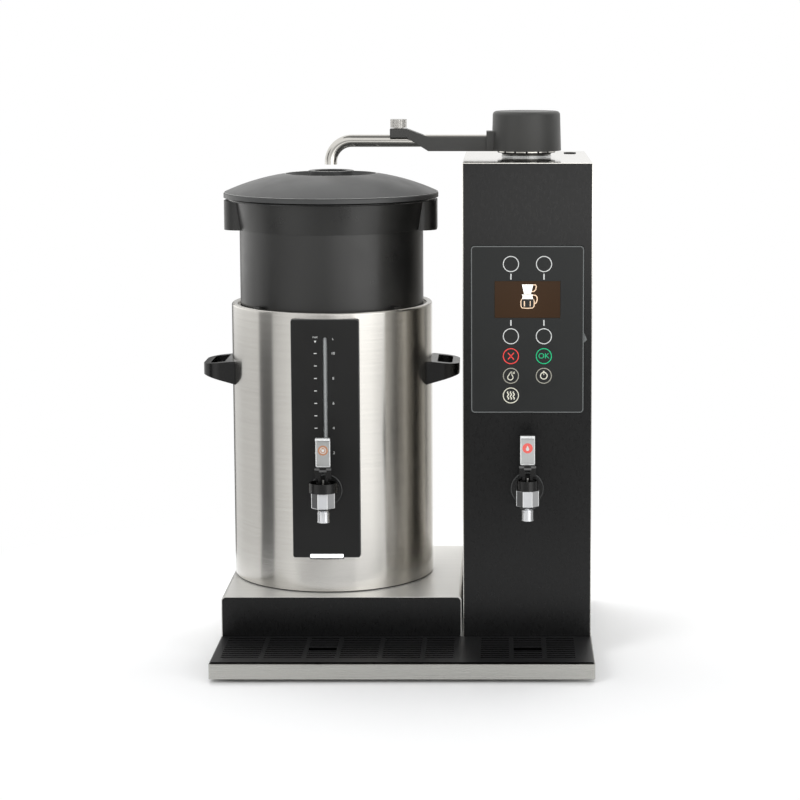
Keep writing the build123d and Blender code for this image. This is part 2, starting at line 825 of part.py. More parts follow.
with BuildPart() as arm_bracket:
    disc(x_hub, y_hub, (z_turntable, z_turntable + turntable_thickness), turntable_radius)
    disc(x_hub, y_hub, (z_spindle_low, z_arm + spout_radius + running_fit), spindle_radius)
    with BuildSketch(front_plane(bracket_y[0])) as bracket_side:
        with BuildLine():
            Polyline(
                (x_hub, z_turntable),
                (x_hub, z_arm + trough_above),
                (trough_x[0], z_arm + trough_above),
                (saddle_x[1], z_arm + saddle_high),
                (saddle_x[0], z_arm + saddle_high),
                (saddle_x[0], z_arm + saddle_low),
                (saddle_x[1], z_arm + saddle_low),
                (trough_x[0], z_arm - trough_below),
                (x_hub - collar_radius - 2 * seat_gap, z_arm - trough_below),
                (x_hub - collar_radius - 2 * seat_gap, z_turntable),
                close=True,
            )
        make_face()
    extrude(bracket_side.sketch, amount=-2 * bracket_half_width)
    # The channel for the spout pipe: open upward along the trough, downward at the saddle
    channel = spout_radius + running_fit
    rod_x((saddle_x[0], x_hub), y_hub, z_arm, channel, mode=Mode.SUBTRACT)
    slab(
        trough_x,
        (y_hub - channel, y_hub + channel),
        (z_arm, z_arm + saddle_high),
        mode=Mode.SUBTRACT,
    )
    slab(
        (saddle_x[0], trough_x[0]),
        (y_hub - channel, y_hub + channel),
        (z_arm - trough_below, z_arm),
        mode=Mode.SUBTRACT,
    )
    disc(x_hub, y_hub, (z_spindle_low, z_arm), pipe_radius + panel_gap, mode=Mode.SUBTRACT)
    x_knob = (saddle_x[0] + saddle_x[1]) / 2
    knob_hole = knob_screw_radius + running_fit
    disc(x_knob, y_hub, (z_arm, z_arm + saddle_high), knob_hole, mode=Mode.SUBTRACT)
save(arm_bracket, "arm_bracket")

z_cap_top = z_cap + cap_height

with BuildPart() as hub_cap:
    turned(
        hub_section,
        hub_axis,
        [
            (0, z_cap),
            (cap_radius + cap_flare, z_cap),
            (cap_radius, z_cap_top),
            (0, z_cap_top),
        ],
    )
    fillet(hub_cap.faces().sort_by(Axis.Z)[-1].edges(), cap_shoulder)
    turned(
        hub_section,
        hub_axis,
        [
            (0, z_cap_top),
            (cap_radius - 2 * cap_shoulder, z_cap_top),
            (0, z_cap_top - cap_dish),
        ],
        mode=Mode.SUBTRACT,
    )
    root_x = (x_hub - cap_radius - root_length, x_hub - cap_radius + cap_wall)
    root_y = (y_hub - root_half_width, y_hub + root_half_width)
    slab(root_x, root_y, (z_cap, z_arm + root_above_arm))
    inner_top = z_cap_top - cap_wall - cap_dish
    disc(x_hub, y_hub, (z_cap, inner_top), turntable_radius + panel_gap, mode=Mode.SUBTRACT)
    passage_y = wider(bracket_y, panel_gap)
    slab(
        (root_x[0], x_hub),
        passage_y,
        (z_cap, z_arm + spout_radius + panel_gap),
        mode=Mode.SUBTRACT,
    )
save(hub_cap, "hub_cap")

with BuildPart() as spout_pipe:
    with BuildLine() as spout_path:
        FilletPolyline(
            (x_hub - running_fit, y_hub, z_arm),
            (x_urn, y_urn, z_arm),
            (x_urn, y_urn, z_spout),
            radius=spout_bend,
        )
    with BuildSketch(Plane(origin=spout_path.line @ 0, z_dir=spout_path.line % 0)):
        Circle(spout_radius)
        Circle(spout_radius - spout_wall, mode=Mode.SUBTRACT)
    sweep()
    # The inlet in the pipe's underside, over the riser
    disc(x_hub, y_hub, (z_arm - spout_radius, z_arm), pipe_bore, mode=Mode.SUBTRACT)
save(spout_pipe, "spout_pipe")

with BuildPart() as clamp_screw:
    z_saddle = z_arm + saddle_high
    z_knob = z_saddle + seat_gap + knob_neck_height
    disc(x_knob, y_hub, (z_arm + spout_radius + running_fit, z_knob), knob_screw_radius)
    disc(x_knob, y_hub, (z_saddle + seat_gap, z_knob), knob_neck_radius)
    disc(x_knob, y_hub, (z_knob, z_knob + knob_height), knob_radius)
    with Locations((x_knob, y_hub, z_knob + knob_height / 2)):
        with PolarLocations(knob_radius, knob_flutes):
            Cylinder(knob_flute_radius, knob_height, mode=Mode.SUBTRACT)
save(clamp_screw, "clamp_screw")

# ---------------------------------------------------------------- urn

z_shell_low = z_shelf + seat_gap + urn_foot_height
shell_inner = urn_radius - urn_wall
shell_cut = urn_radius / 2  # through the front wall only
gauge_x = (x_urn - gauge_width / 2, x_urn + gauge_width / 2)
gauge_z = (z_gauge, z_gauge + gauge_height)
light_x = (x_urn - light_width / 2, x_urn + light_width / 2)
light_z = (z_gauge - light_below, z_gauge - light_below + light_height)

with BuildPart() as urn_shell:
    turned(
        urn_section,
        urn_axis,
        [
            (shell_inner, z_shell_low),
            (urn_radius, z_shell_low),
            (urn_radius, z_rim),
            (urn_radius - rim_width, z_rim),
            (urn_radius - rim_width, z_seat),
            (shell_inner, z_seat),
        ],
    )
    fillet(urn_shell.faces().sort_by(Axis.Z)[-1].edges(), rim_radius)
    plate(
        wider(gauge_x, panel_gap),
        wider(gauge_z, panel_gap),
        y_gauge,
        shell_cut,
        gauge_corner,
        mode=Mode.SUBTRACT,
    )
    plate(
        wider(light_x, panel_gap),
        wider(light_z, panel_gap),
        y_gauge,
        shell_cut,
        light_corner,
        mode=Mode.SUBTRACT,
    )
save(urn_shell, "urn_shell")

with BuildPart() as urn_base:
    foot_z = (z_shelf + seat_gap, z_shell_low)
    disc(x_urn, y_urn, foot_z, urn_radius - urn_foot_inset)
    cup_radius = shell_inner - panel_gap
    disc(x_urn, y_urn, (z_shell_low, z_shell_low + urn_base_height), cup_radius)
    cup_z = (z_shell_low + urn_base_wall, z_shell_low + urn_base_height)
    disc(x_urn, y_urn, cup_z, cup_radius - urn_base_wall, mode=Mode.SUBTRACT)
    # Recess over the shelf's contacts
    recess_z = (z_shelf + seat_gap, z_shell_low)
    disc(x_urn, contact_y, recess_z, contact_radius - contact_flange, mode=Mode.SUBTRACT)
save(urn_base, "urn_base")

z_vessel = z_urn_tap + floor_above_tap
vessel_outer = vessel_radius + vessel_wall
y_drop = y_urn - (sump_front + sump_back) / 2

with BuildPart() as urn_vessel:
    turned(
        urn_section,
        urn_axis,
        [
            (0, z_vessel),
            (vessel_outer, z_vessel),
            (vessel_outer, z_seat - vessel_wall),
            (shell_inner - panel_gap, z_seat - vessel_wall),
            (shell_inner - panel_gap, z_seat),
            (vessel_radius, z_seat),
            (vessel_radius, z_vessel + vessel_wall),
            (0, z_vessel + vessel_wall),
        ],
    )
    sump_radius = sump_drop_radius + sump_wall
    rod_y(x_urn, (y_urn - sump_front, y_urn - sump_back), z_urn_tap, sump_radius)
    disc(x_urn, y_drop, (z_urn_tap, z_vessel), sump_radius)
    disc(x_urn, y_drop, (z_urn_tap, z_vessel + vessel_wall), sump_drop_radius, mode=Mode.SUBTRACT)
    rod_y(x_urn, (y_urn - sump_front, y_drop), z_urn_tap, tap_bore, mode=Mode.SUBTRACT)
save(urn_vessel, "urn_vessel")

with BuildPart() as urn_heater:
    disc(x_urn, y_urn, (z_vessel - heater_thickness, z_vessel), heater_radius)
save(urn_heater, "urn_heater")

with BuildPart() as gauge_panel:
    plate(gauge_x, gauge_z, y_gauge, gauge_depth, gauge_corner)
    slab(
        wider(gauge_x, -gauge_wall),
        (y_gauge + gauge_wall, y_gauge + gauge_depth),
        (light_z[1] + gauge_wall, gauge_z[1] - gauge_wall),
        mode=Mode.SUBTRACT,
    )
    slot_x = (x_urn - gauge_slot_width / 2, x_urn + gauge_slot_width / 2)
    slot_z = (z_urn_tap + gauge_slot_low, z_shelf + gauge_slot_top)
    plate(slot_x, slot_z, y_gauge, gauge_wall, gauge_slot_corner, mode=Mode.SUBTRACT)
    rod_y(x_urn, (y_gauge, y_gauge + gauge_wall), z_urn_tap, tail_radius + panel_gap, mode=Mode.SUBTRACT)
    plate(
        wider(light_x, panel_gap),
        wider(light_z, panel_gap),
        y_gauge,
        gauge_depth,
        light_corner,
        mode=Mode.SUBTRACT,
    )
save(gauge_panel, "gauge_panel")

y_tube = y_gauge + gauge_wall + panel_gap + gauge_tube_radius
tube_z = (z_urn_tap + tail_radius + panel_gap, z_shelf + gauge_slot_top + gauge_tube_radius)

with BuildPart() as gauge_tube:
    disc(x_urn, y_tube, tube_z, gauge_tube_radius)
    disc(x_urn, y_tube, tube_z, gauge_tube_bore, mode=Mode.SUBTRACT)
save(gauge_tube, "gauge_tube")

with BuildPart() as light_bar:
    plate(light_x, light_z, y_gauge - light_proud, light_depth, light_corner)
save(light_bar, "light_bar")


def build_handle(side):
    """A loop handle with a finger hole, at the urn's left (side -1) or right (side 1)."""
    root = urn_radius - handle_width**2 / (8 * urn_radius) - handle_root_wall
    z_top = z_shelf + handle_top
    z_root = z_top - handle_root_height
    z_tip = z_top - handle_top_drop

    def at(radius):
        return x_urn + side * radius

    def loop(low, high, half_width, corner, mode):
        """A block with its two outer upright edges rounded."""
        with BuildSketch(Plane.XY.offset(z_root)) as outline:
            with BuildLine():
                FilletPolyline(
                    (at(low), y_urn - half_width),
                    (at(high), y_urn - half_width),
                    (at(high), y_urn + half_width),
                    (at(low), y_urn + half_width),
                    radius=corner,
                )
                Line((at(low), y_urn + half_width), (at(low), y_urn - half_width))
            make_face()
        extrude(outline.sketch, amount=handle_root_height, mode=mode)

    with BuildPart() as handle:
        half = handle_width / 2
        loop(root, handle_tip_radius, half, handle_corner, Mode.ADD)
        with BuildSketch(front_plane(y_urn)) as side_view:
            with BuildLine():
                Polyline(
                    (at(root), z_root),
                    (at(urn_radius - handle_root_wall), z_root),
                    (at(handle_tip_radius), z_tip - handle_tip_height),
                    (at(handle_tip_radius), z_tip),
                    (at(urn_radius), z_top),
                    (at(root), z_top),
                    close=True,
                )
            make_face()
        extrude(side_view.sketch, amount=half, both=True, mode=Mode.INTERSECT)
        fillet(handle.faces().sort_by(Axis.Z)[-1].edges().filter_by(Axis.X), handle_edge)
        hole = (urn_radius + handle_root_wall, handle_tip_radius - handle_wall)
        loop(hole[0], hole[1], half - handle_wall, handle_hole_corner, Mode.SUBTRACT)
        disc(x_urn, y_urn, (z_root, z_top), urn_radius + running_fit, mode=Mode.SUBTRACT)
    return handle


for side, name in ((-1, "handle_left"), (1, "handle_right")):
    save(build_handle(side), name)

# ---------------------------------------------------------------- filter basket and lid

z_basket = z_seat + seat_gap
z_flange = z_basket_top
basket_floor = z_basket + basket_wall

with BuildPart() as filter_basket:
    turned(
        urn_section,
        urn_axis,
        [
            (0, z_basket),
            (basket_radius, z_basket),
            (basket_radius, z_ledge),
            (basket_ledge_radius, z_ledge),
            (basket_top_radius, z_flange),
            (basket_flange_radius, z_flange),
            (basket_flange_radius, z_flange + basket_flange),
            (0, z_flange + basket_flange),
        ],
    )
    # Grip ears at both sides, hollow from below, and lugs that rest on the urn's rim
    for side in (-1, 1):
        ear_x = sorted((x_urn, x_urn + side * ear_reach))
        with BuildSketch(Plane.XY.offset(z_rim + ear_low)) as ear:
            with Locations((x_urn + side * ear_reach / 2, y_urn)):
                RectangleRounded(ear_reach, ear_width, ear_corner)
        extrude(ear.sketch, amount=basket_top - ear_low + running_fit)
    with BuildSketch(Plane.XY.offset(z_rim + seat_gap)) as lugs:
        with Locations((x_urn, y_urn)):
            with PolarLocations(basket_radius, lug_count, start_angle=lug_start_angle):
                Rectangle(2 * lug_length, lug_width)
    extrude(lugs.sketch, amount=lug_height)
    for side in (-1, 1):
        with BuildSketch(Plane.XY.offset(z_rim + ear_low)) as pocket:
            with Locations((x_urn + side * ear_reach / 2, y_urn)):
                RectangleRounded(ear_reach - 2 * ear_wall, ear_width - 2 * ear_wall, ear_corner - ear_wall)
            with Locations((x_urn, y_urn)):
                Circle(basket_ledge_radius, mode=Mode.SUBTRACT)
        pocket_height = basket_top - ear_low - ear_wall
        extrude(pocket.sketch, amount=pocket_height, mode=Mode.SUBTRACT)
    turned(
        urn_section,
        urn_axis,
        [
            (0, basket_floor),
            (basket_inner, basket_floor),
            (basket_inner, z_ledge + basket_wall),
            (top_inner, z_flange + basket_flange),
            (0, z_flange + basket_flange),
        ],
        mode=Mode.SUBTRACT,
    )
    drain_z = (z_basket - basket_drain_length, basket_floor)
    disc(x_urn, y_urn, drain_z, basket_drain_radius + basket_wall)
    disc(x_urn, y_urn, drain_z, basket_drain_radius, mode=Mode.SUBTRACT)
save(filter_basket, "filter_basket")

ring_pitch = support_radius / (support_ring_count + 0.5)

with BuildPart() as filter_support:
    support_z = (basket_floor + support_height, basket_floor + support_height + support_thickness)
    with BuildSketch(Plane.XY.offset(support_z[0])):
        with Locations((x_urn, y_urn)):
            Circle(support_radius)
            for ring in range(1, support_ring_count + 1):
                with PolarLocations(ring * ring_pitch, ring * support_hole_count):
                    Circle(support_hole_radius, mode=Mode.SUBTRACT)
    extrude(amount=support_thickness)
    with Locations((x_urn, y_urn, basket_floor + support_height / 2)):
        with PolarLocations(support_radius - support_leg_inset, support_leg_count):
            Cylinder(support_leg_radius, support_height)
save(filter_support, "filter_support")

z_lid_rim = z_lid + lid_rim_height
z_recess = z_lid_rim + lid_dome - lid_recess_depth
recess_floor_radius = lid_recess_radius - lid_recess_depth / 2

with BuildPart() as basket_lid:
    with BuildSketch(urn_section) as lid_outline:
        with BuildLine():
            Line((lid_skirt_radius, z_lid), (lid_radius, z_lid))
            Line((lid_radius, z_lid), (lid_radius, z_lid_rim - lid_wall))
            Line((lid_radius, z_lid_rim - lid_wall), (lid_radius - lid_wall, z_lid_rim))
            dome_end = (lid_recess_radius, z_lid_rim + lid_dome)
            dome_mid = ((lid_radius + lid_recess_radius) / 2, z_lid_rim + lid_dome_middle)
            ThreePointArc((lid_radius - lid_wall, z_lid_rim), dome_mid, dome_end)
            Polyline(
                dome_end,
                (recess_floor_radius, z_recess),
                (lid_ring_radius, z_recess),
                (lid_ring_radius, z_ring_top),
                (lid_hole_radius, z_ring_top),
                (lid_hole_radius, z_recess - lid_wall),
                (recess_floor_radius + lid_wall, z_recess - lid_wall),
                (lid_recess_radius + lid_wall, z_lid_rim + lid_dome - 2 * lid_wall),
            )
            inner_mid = (dome_mid[0] - lid_wall / 2, dome_mid[1] - lid_wall)
            inner_start = (lid_recess_radius + lid_wall, z_lid_rim + lid_dome - 2 * lid_wall)
            inner_end = (lid_skirt_radius, z_lid + lid_wall)
            ThreePointArc(inner_start, inner_mid, inner_end)
            Polyline(
                inner_end,
                (lid_skirt_radius - lid_wall, z_lid + lid_wall),
                (lid_skirt_radius - lid_wall, z_lid - lid_skirt_depth),
                (lid_skirt_radius, z_lid - lid_skirt_depth),
                (lid_skirt_radius, z_lid),
            )
        make_face()
    revolve(lid_outline.sketch, axis=urn_axis)
save(basket_lid, "basket_lid")

# ---------------------------------------------------------------- taps


def build_tap(name, x, y_face, z, reach, tail, bonnet_radius, body_width, gauge_port=False):
    """Saves the six pieces of a lever tap whose axis stands `reach` in front of a flat face."""
    y = y_face - reach
    y_tail = y_face + tail
    y_rosette = y_face - rosette_thickness
    z_body = (z - body_below, z + body_above)
    z_chamber = z_body[0] + chamber_floor
    z_bonnet = (z_body[1], z_body[1] + bonnet_height)
    z_bonnet_floor = z_bonnet[0] + bonnet_floor
    z_pivot = z_bonnet[1] - pivot_below_bonnet_top
    ears_in = fork_half_width + panel_gap

    with BuildPart() as rosette:
        rod_y(x, (y_rosette, y_face), z, rosette_radius)
        fillet(rosette.faces().sort_by(Axis.Y)[0].edges(), rosette_edge)
        rod_y(x, (y_rosette, y_face), z, tail_radius + panel_gap, mode=Mode.SUBTRACT)
    save(rosette, f"{name}_rosette")

    with BuildPart() as body:
        with BuildSketch(Plane.XY.offset(z_body[0])) as octagon:
            with Locations((x, y)):
                RegularPolygon(body_width / 2, body_sides, major_radius=False, rotation=180 / body_sides)
        extrude(octagon.sketch, amount=z_body[1] - z_body[0])
        chamfer(body.faces().sort_by(Axis.Z)[0].edges(), body_corner)
        rod_y(x, (y, y_tail), z, tail_radius)
        disc(x, y, (z - nozzle_high, z_body[0]), neck_radius)
        disc(x, y, (z - nozzle_low, z - nozzle_high), nozzle_radius)
        disc(x, y, (z_chamber, z_body[1]), chamber_radius, mode=Mode.SUBTRACT)
        disc(x, y, (z - nozzle_low, z_chamber), tap_bore, mode=Mode.SUBTRACT)
        rod_y(x, (y, y_tail), z, tap_bore, mode=Mode.SUBTRACT)
        if gauge_port:
            disc(x, y_tube, (z, z + tail_radius), gauge_tube_bore, mode=Mode.SUBTRACT)
    save(body, f"{name}_body")

    with BuildPart() as bonnet:
        disc(x, y, z_bonnet, bonnet_radius)
        disc(x, y, (z_bonnet_floor, z_bonnet[1]), bonnet_radius - bonnet_wall, mode=Mode.SUBTRACT)
        disc(x, y, (z_bonnet[0] - spigot_height, z_bonnet[0]), chamber_radius - running_fit)
        for side in (-1, 1):
            ear_x = sorted((x + side * ears_in, x + side * (ears_in + ear_plate)))
            ear_z = (z_bonnet_floor, z_bonnet[1] - running_fit)
            slab(ear_x, (y - fork_half_depth, y + fork_half_depth), ear_z)
        hole = stem_radius + running_fit
        disc(x, y, (z_bonnet[0] - spigot_height, z_bonnet_floor), hole, mode=Mode.SUBTRACT)
        ears = ears_in + ear_plate
        rod_x((x - ears, x + ears), y, z_pivot, trunnion_radius + running_fit, mode=Mode.SUBTRACT)
    save(bonnet, f"{name}_bonnet")

    with BuildPart() as lever:
        slab(
            (x - fork_half_width, x + fork_half_width),
            (y - fork_half_depth, y + fork_half_depth),
            (z_pivot - fork_foot, z_pivot + fork_head_low),
        )
        slab(
            (x - fork_head_half_width, x + fork_head_half_width),
            (y - fork_head_half_depth, y + fork_head_half_depth),
            (z_pivot + fork_head_low, z_pivot + fork_top),
        )
        trunnions = fork_half_width + ear_plate
        rod_x((x - trunnions, x + trunnions), y, z_pivot, trunnion_radius)
        # The foot is rounded about the pivot, so that it clears the bonnet's floor as it tilts.
        lower = lever.edges().filter_by(Axis.X).group_by(Axis.Z)[0]
        fillet(lower, trunnion_radius)
        slab(
            (x - fork_slot, x + fork_slot),
            (y - 2 * fork_half_depth, y + 2 * fork_half_depth),
            (z_pivot - fork_foot, z_pivot + fork_slot_top),
            mode=Mode.SUBTRACT,
        )
    save(lever, f"{name}_lever")

    with BuildPart() as tab:
        z_tab = (z_pivot + fork_top, z_pivot + plate_top)
        tab_x = (x - plate_half_width, x + plate_half_width)
        y_plate = (y - plate_thickness / 2, y + plate_thickness / 2)
        slab(tab_x, y_plate, z_tab)
        slab(tab_x, (y_plate[0] - plate_lip, y_plate[0]), (z_tab[1] - plate_thickness, z_tab[1]))
    save(tab, f"{name}_plate")

    with BuildPart() as stem:
        disc(x, y, (z_chamber + seat_gap, z_pivot + stem_top), stem_radius)
        z_disc = (z_chamber + seat_gap, z_chamber + seat_gap + stem_seat_height)
        disc(x, y, z_disc, stem_seat_radius)
    save(stem, f"{name}_stem")


build_tap(
    "hot_tap", x_column, y_case, z_hot_tap, hot_tap_reach, hot_tap_tail, hot_bonnet_radius, hot_body_width
)
build_tap(
    "urn_tap",
    x_urn,
    y_gauge,
    z_urn_tap,
    urn_tap_reach,
    y_urn - sump_front - y_gauge,
    urn_bonnet_radius,
    urn_body_width,
    gauge_port=True,
)
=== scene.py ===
import math

import bmesh
import bpy
from mathutils import Matrix, Vector


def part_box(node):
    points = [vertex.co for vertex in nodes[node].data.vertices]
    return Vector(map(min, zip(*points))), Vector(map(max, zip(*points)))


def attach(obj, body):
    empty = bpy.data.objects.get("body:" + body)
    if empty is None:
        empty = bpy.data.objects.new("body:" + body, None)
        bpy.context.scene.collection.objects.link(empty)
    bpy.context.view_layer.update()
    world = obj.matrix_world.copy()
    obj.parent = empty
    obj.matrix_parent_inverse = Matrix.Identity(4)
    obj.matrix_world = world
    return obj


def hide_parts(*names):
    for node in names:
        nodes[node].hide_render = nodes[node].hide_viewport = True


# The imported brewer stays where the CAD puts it. This script gives every node its material, adds
# the printed marks and the trim, and sets up the studio and the camera. Lengths are in metres.

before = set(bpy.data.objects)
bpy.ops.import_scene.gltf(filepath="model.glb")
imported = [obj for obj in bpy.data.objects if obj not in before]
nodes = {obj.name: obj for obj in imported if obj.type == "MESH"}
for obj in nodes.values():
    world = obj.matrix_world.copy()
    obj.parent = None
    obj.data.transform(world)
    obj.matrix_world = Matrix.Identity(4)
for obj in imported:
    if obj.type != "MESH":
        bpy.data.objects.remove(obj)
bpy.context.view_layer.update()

MM = 0.001
PRINT = 0.12 * MM  # thickness of a printed mark


def centre(node):
    low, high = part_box(node)
    return (low + high) / 2


# ---------------------------------------------------------------- places

urn_centre = centre("urn_shell")
hub_centre = centre("hub_collar")
panel_low, panel_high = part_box("panel_bezel")
gauge_low, gauge_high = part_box("gauge_panel")
display_low, display_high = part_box("display_screen")

# ---------------------------------------------------------------- materials

SWITCH = (0.0, 1.0)  # the source range of a value that is 0 or 1
# Brushing, in grains per metre
ACROSS = 2600.0
ALONG = 12.0
EVEN_GRAIN = (900.0, 900.0, 900.0)


class Finish:
    """One material as a node tree. Each method that makes a pattern returns its output socket."""

    def __init__(self, name, color, roughness, metallic=0.0, **inputs):
        self.material = bpy.data.materials.new(name)
        self.material.use_nodes = True
        self.tree = self.material.node_tree
        self.shader = self.tree.nodes["Principled BSDF"]
        self.color = (*color, 1.0)
        self.roughness = roughness
        self.set("Base Color", self.color)
        self.set("Roughness", roughness)
        self.set("Metallic", metallic)
        for key, value in inputs.items():
            self.set(key.replace("_", " "), value)

    def set(self, socket, value):
        self.shader.inputs[socket].default_value = value

    def node(self, kind, **settings):
        node = self.tree.nodes.new("ShaderNode" + kind)
        for key, value in settings.items():
            setattr(node, key, value)
        return node

    def link(self, output, target):
        self.tree.links.new(output, target)

    def feed(self, node, values):
        """Sets a node's inputs by number, from sockets or plain values."""
        for index, value in enumerate(values):
            if isinstance(value, bpy.types.NodeSocket):
                self.link(value, node.inputs[index])
            elif value is not None:
                node.inputs[index].default_value = value
        return node

    def maths(self, operation, *values):
        return self.feed(self.node("Math", operation=operation), values).outputs[0]

    def place(self):
        return self.node("TexCoord").outputs["Object"]

    def around(self, axis):
        """Coordinates round an upright axis: angle, radius and height."""
        shifted = self.feed(
            self.node("VectorMath", operation="SUBTRACT"), (self.place(), (axis.x, axis.y, 0.0))
        ).outputs[0]
        parts = self.feed(self.node("SeparateXYZ"), (shifted,)).outputs
        angle = self.maths("ARCTAN2", parts[1], parts[0])
        squares = [self.maths("POWER", part, 2.0) for part in parts[:2]]
        radius = self.maths("SQRT", self.maths("ADD", *squares))
        return self.feed(self.node("CombineXYZ"), (angle, radius, parts[2])).outputs[0]

    def noise(self, where, stretch, detail=3.0, roughness=0.6, distortion=0.0):
        """Noise whose grains per metre along each axis are given by stretch."""
        scaled = self.feed(
            self.node("VectorMath", operation="MULTIPLY"), (where, tuple(stretch))
        ).outputs[0]
        texture = self.node("TexNoise")
        self.link(scaled, texture.inputs["Vector"])
        texture.inputs["Scale"].default_value = 1.0
        texture.inputs["Detail"].default_value = detail
        texture.inputs["Roughness"].default_value = roughness
        texture.inputs["Distortion"].default_value = distortion
        return texture.outputs["Fac"]

    def spread(self, value, low, high, source=(0.3, 0.7)):
        """Maps a noise value to a range."""
        node = self.node("MapRange")
        return self.feed(node, (value, source[0], source[1], low, high)).outputs[0]

    def vary_color(self, value, amount):
        """Darkens and lightens the colour by the given share as the value goes from 0 to 1."""
        mix = self.node("Mix", data_type="RGBA")
        dark = [c * (1 - amount) for c in self.color[:3]]
        light = [min(1.0, c * (1 + amount)) for c in self.color[:3]]
        mix.inputs["A"].default_value = (*dark, 1.0)
        mix.inputs["B"].default_value = (*light, 1.0)
        self.link(value, mix.inputs["Factor"])
        self.link(mix.outputs["Result"], self.shader.inputs["Base Color"])

    def facing(self, direction, least):
        """1 on faces whose normal has more than the least cosine with the direction, else 0."""
        normal = self.node("NewGeometry").outputs["Normal"]
        lean = self.feed(self.node("VectorMath", operation="DOT_PRODUCT"), (normal, direction))
        return self.maths("GREATER_THAN", lean.outputs["Value"], least)

    def upward(self):
        return self.facing((0.0, 0.0, 1.0), 0.7)

    def vary_roughness(self, value, amount):
        low, high = self.roughness - amount, self.roughness + amount
        self.link(self.spread(value, low, high), self.shader.inputs["Roughness"])

    def bump(self, height, distance, edge=0.0):
        """Relief of the given depth in metres, with edges softened over the given radius."""
        bump = self.node("Bump")
        bump.inputs["Strength"].default_value = 1.0
        bump.inputs["Distance"].default_value = distance
        self.link(height, bump.inputs["Height"])
        if edge:
            bevel = self.node("Bevel", samples=4)
            bevel.inputs["Radius"].default_value = edge
            self.link(bevel.outputs[0], bump.inputs["Normal"])
        self.link(bump.outputs[0], self.shader.inputs["Normal"])


def brushed(
    name,
    color,
    roughness,
    stretch,
    axis=None,
    anisotropy=0.5,
    level_grain=True,
    edge=0.3 * MM,
    top=None,
    metallic=1.0,
):
    """Brushed metal. The grain runs along the axis with the smallest number in stretch. Faces that
    look up take the roughness in top, where it is given."""
    finish = Finish(name, color, roughness, metallic=metallic, Anisotropic=anisotropy)
    where = finish.around(axis) if axis else finish.place()
    fine = finish.noise(where, stretch, detail=2.0)
    broad = finish.noise(where, [s / 6 for s in stretch], detail=2.0)
    finish.vary_color(finish.spread(finish.maths("ADD", fine, broad), 0.0, 1.0, (0.7, 1.3)), 0.035)
    if top is None:
        finish.vary_roughness(fine, 0.03)
    else:
        grain = finish.spread(fine, -0.02, 0.02)
        level = finish.spread(finish.upward(), roughness, top, SWITCH)
        finish.link(finish.maths("ADD", grain, level), finish.shader.inputs["Roughness"])
    finish.bump(fine, 0.0006 * MM, edge)
    if anisotropy:
        direction = finish.node("Tangent", direction_type="RADIAL", axis="Z")
        finish.link(direction.outputs[0], finish.shader.inputs["Tangent"])
        finish.set("Anisotropic Rotation", 0.25 if level_grain else 0.0)
    return finish.material


def moulded(name, color, roughness, grain=2600.0, depth=0.006 * MM, edge=0.5 * MM, **inputs):
    """Moulded plastic with a fine spark-eroded grain and slightly uneven gloss."""
    finish = Finish(name, color, roughness, **inputs)
    where = finish.place()
    fine = finish.noise(where, (grain, grain, grain), detail=2.0)
    broad = finish.noise(where, (22.0, 22.0, 22.0), detail=3.0)
    finish.vary_color(finish.spread(finish.maths("ADD", fine, broad), 0.0, 1.0, (0.7, 1.3)), 0.10)
    finish.vary_roughness(broad, 0.05)
    finish.bump(fine, depth, edge)
    return finish.material


def slotted_cover(name, color, roughness, gloss):
    """Moulded plastic whose upright faces are dull and near-black: painted shade, as in the walls
    of narrow slots.
    """
    finish = Finish(name, color, roughness)
    up = finish.upward()
    where = finish.place()
    broad = finish.noise(where, (22.0, 22.0, 22.0), detail=3.0)
    fine = finish.noise(where, (1800.0, 1800.0, 1800.0), detail=2.0)
    # Painted shade: upright faces take a tenth of the colour, level faces an uneven lighter one
    finish.vary_color(finish.maths("MULTIPLY", up, finish.spread(broad, 0.75, 1.0)), 0.9)
    finish.link(finish.spread(up, 0.95, roughness, SWITCH), finish.shader.inputs["Roughness"])
    finish.set("Specular IOR Level", gloss)
    sheen = finish.spread(up, 0.05, gloss, SWITCH)
    finish.link(sheen, finish.shader.inputs["Specular IOR Level"])
    finish.bump(fine, 0.005 * MM)
    return finish.material


def coated(name, color, roughness, **inputs):
    """A dark coat on brushed sheet: upright grain that shows through as a mottle."""
    finish = Finish(name, color, roughness, **inputs)
    where = finish.place()
    fine = finish.noise(where, (1500.0, 1500.0, 260.0), detail=3.0, roughness=0.6)
    cloud = finish.noise(where, (300.0, 300.0, 110.0), detail=4.0, roughness=0.75)
    finish.vary_color(finish.spread(finish.maths("ADD", fine, cloud), 0.0, 1.0, (0.75, 1.25)), 0.35)
    finish.vary_roughness(cloud, 0.05)
    finish.bump(cloud, 0.08 * MM, 0.3 * MM)
    return finish.material


def printed(name, color, glow=0.0):
    """Printing ink, slightly uneven. Where glow is set it gives off light: lit from behind on the
    screen, painted light on the other print.
    """
    finish = Finish(name, color, 0.45)
    finish.vary_color(finish.noise(finish.place(), (900.0, 900.0, 900.0)), 0.05)
    if glow:
        finish.set("Emission Color", finish.color)
        finish.set("Emission Strength", glow)
    return finish.material


def polished(name, color, roughness, edge=0.25 * MM, metallic=1.0, front=None):
    """Bright metal with faint polishing swirls. Less metallic is brighter where the room is dark;
    faces that look to the front take the metallic value in front, where it is given, which
    lightens them as a painted highlight."""
    finish = Finish(name, color, roughness, metallic=metallic)
    if front is not None:
        ahead = finish.facing((0.0, -1.0, 0.0), 0.9)
        share = finish.spread(ahead, metallic, front, SWITCH)
        finish.link(share, finish.shader.inputs["Metallic"])
    swirl = finish.noise(finish.place(), (260.0, 260.0, 260.0), distortion=1.5)
    finish.vary_color(swirl, 0.03)
    finish.vary_roughness(swirl, roughness * 0.4)
    finish.bump(swirl, 0.002 * MM, edge)
    return finish.material


STEEL = (0.66, 0.645, 0.615)

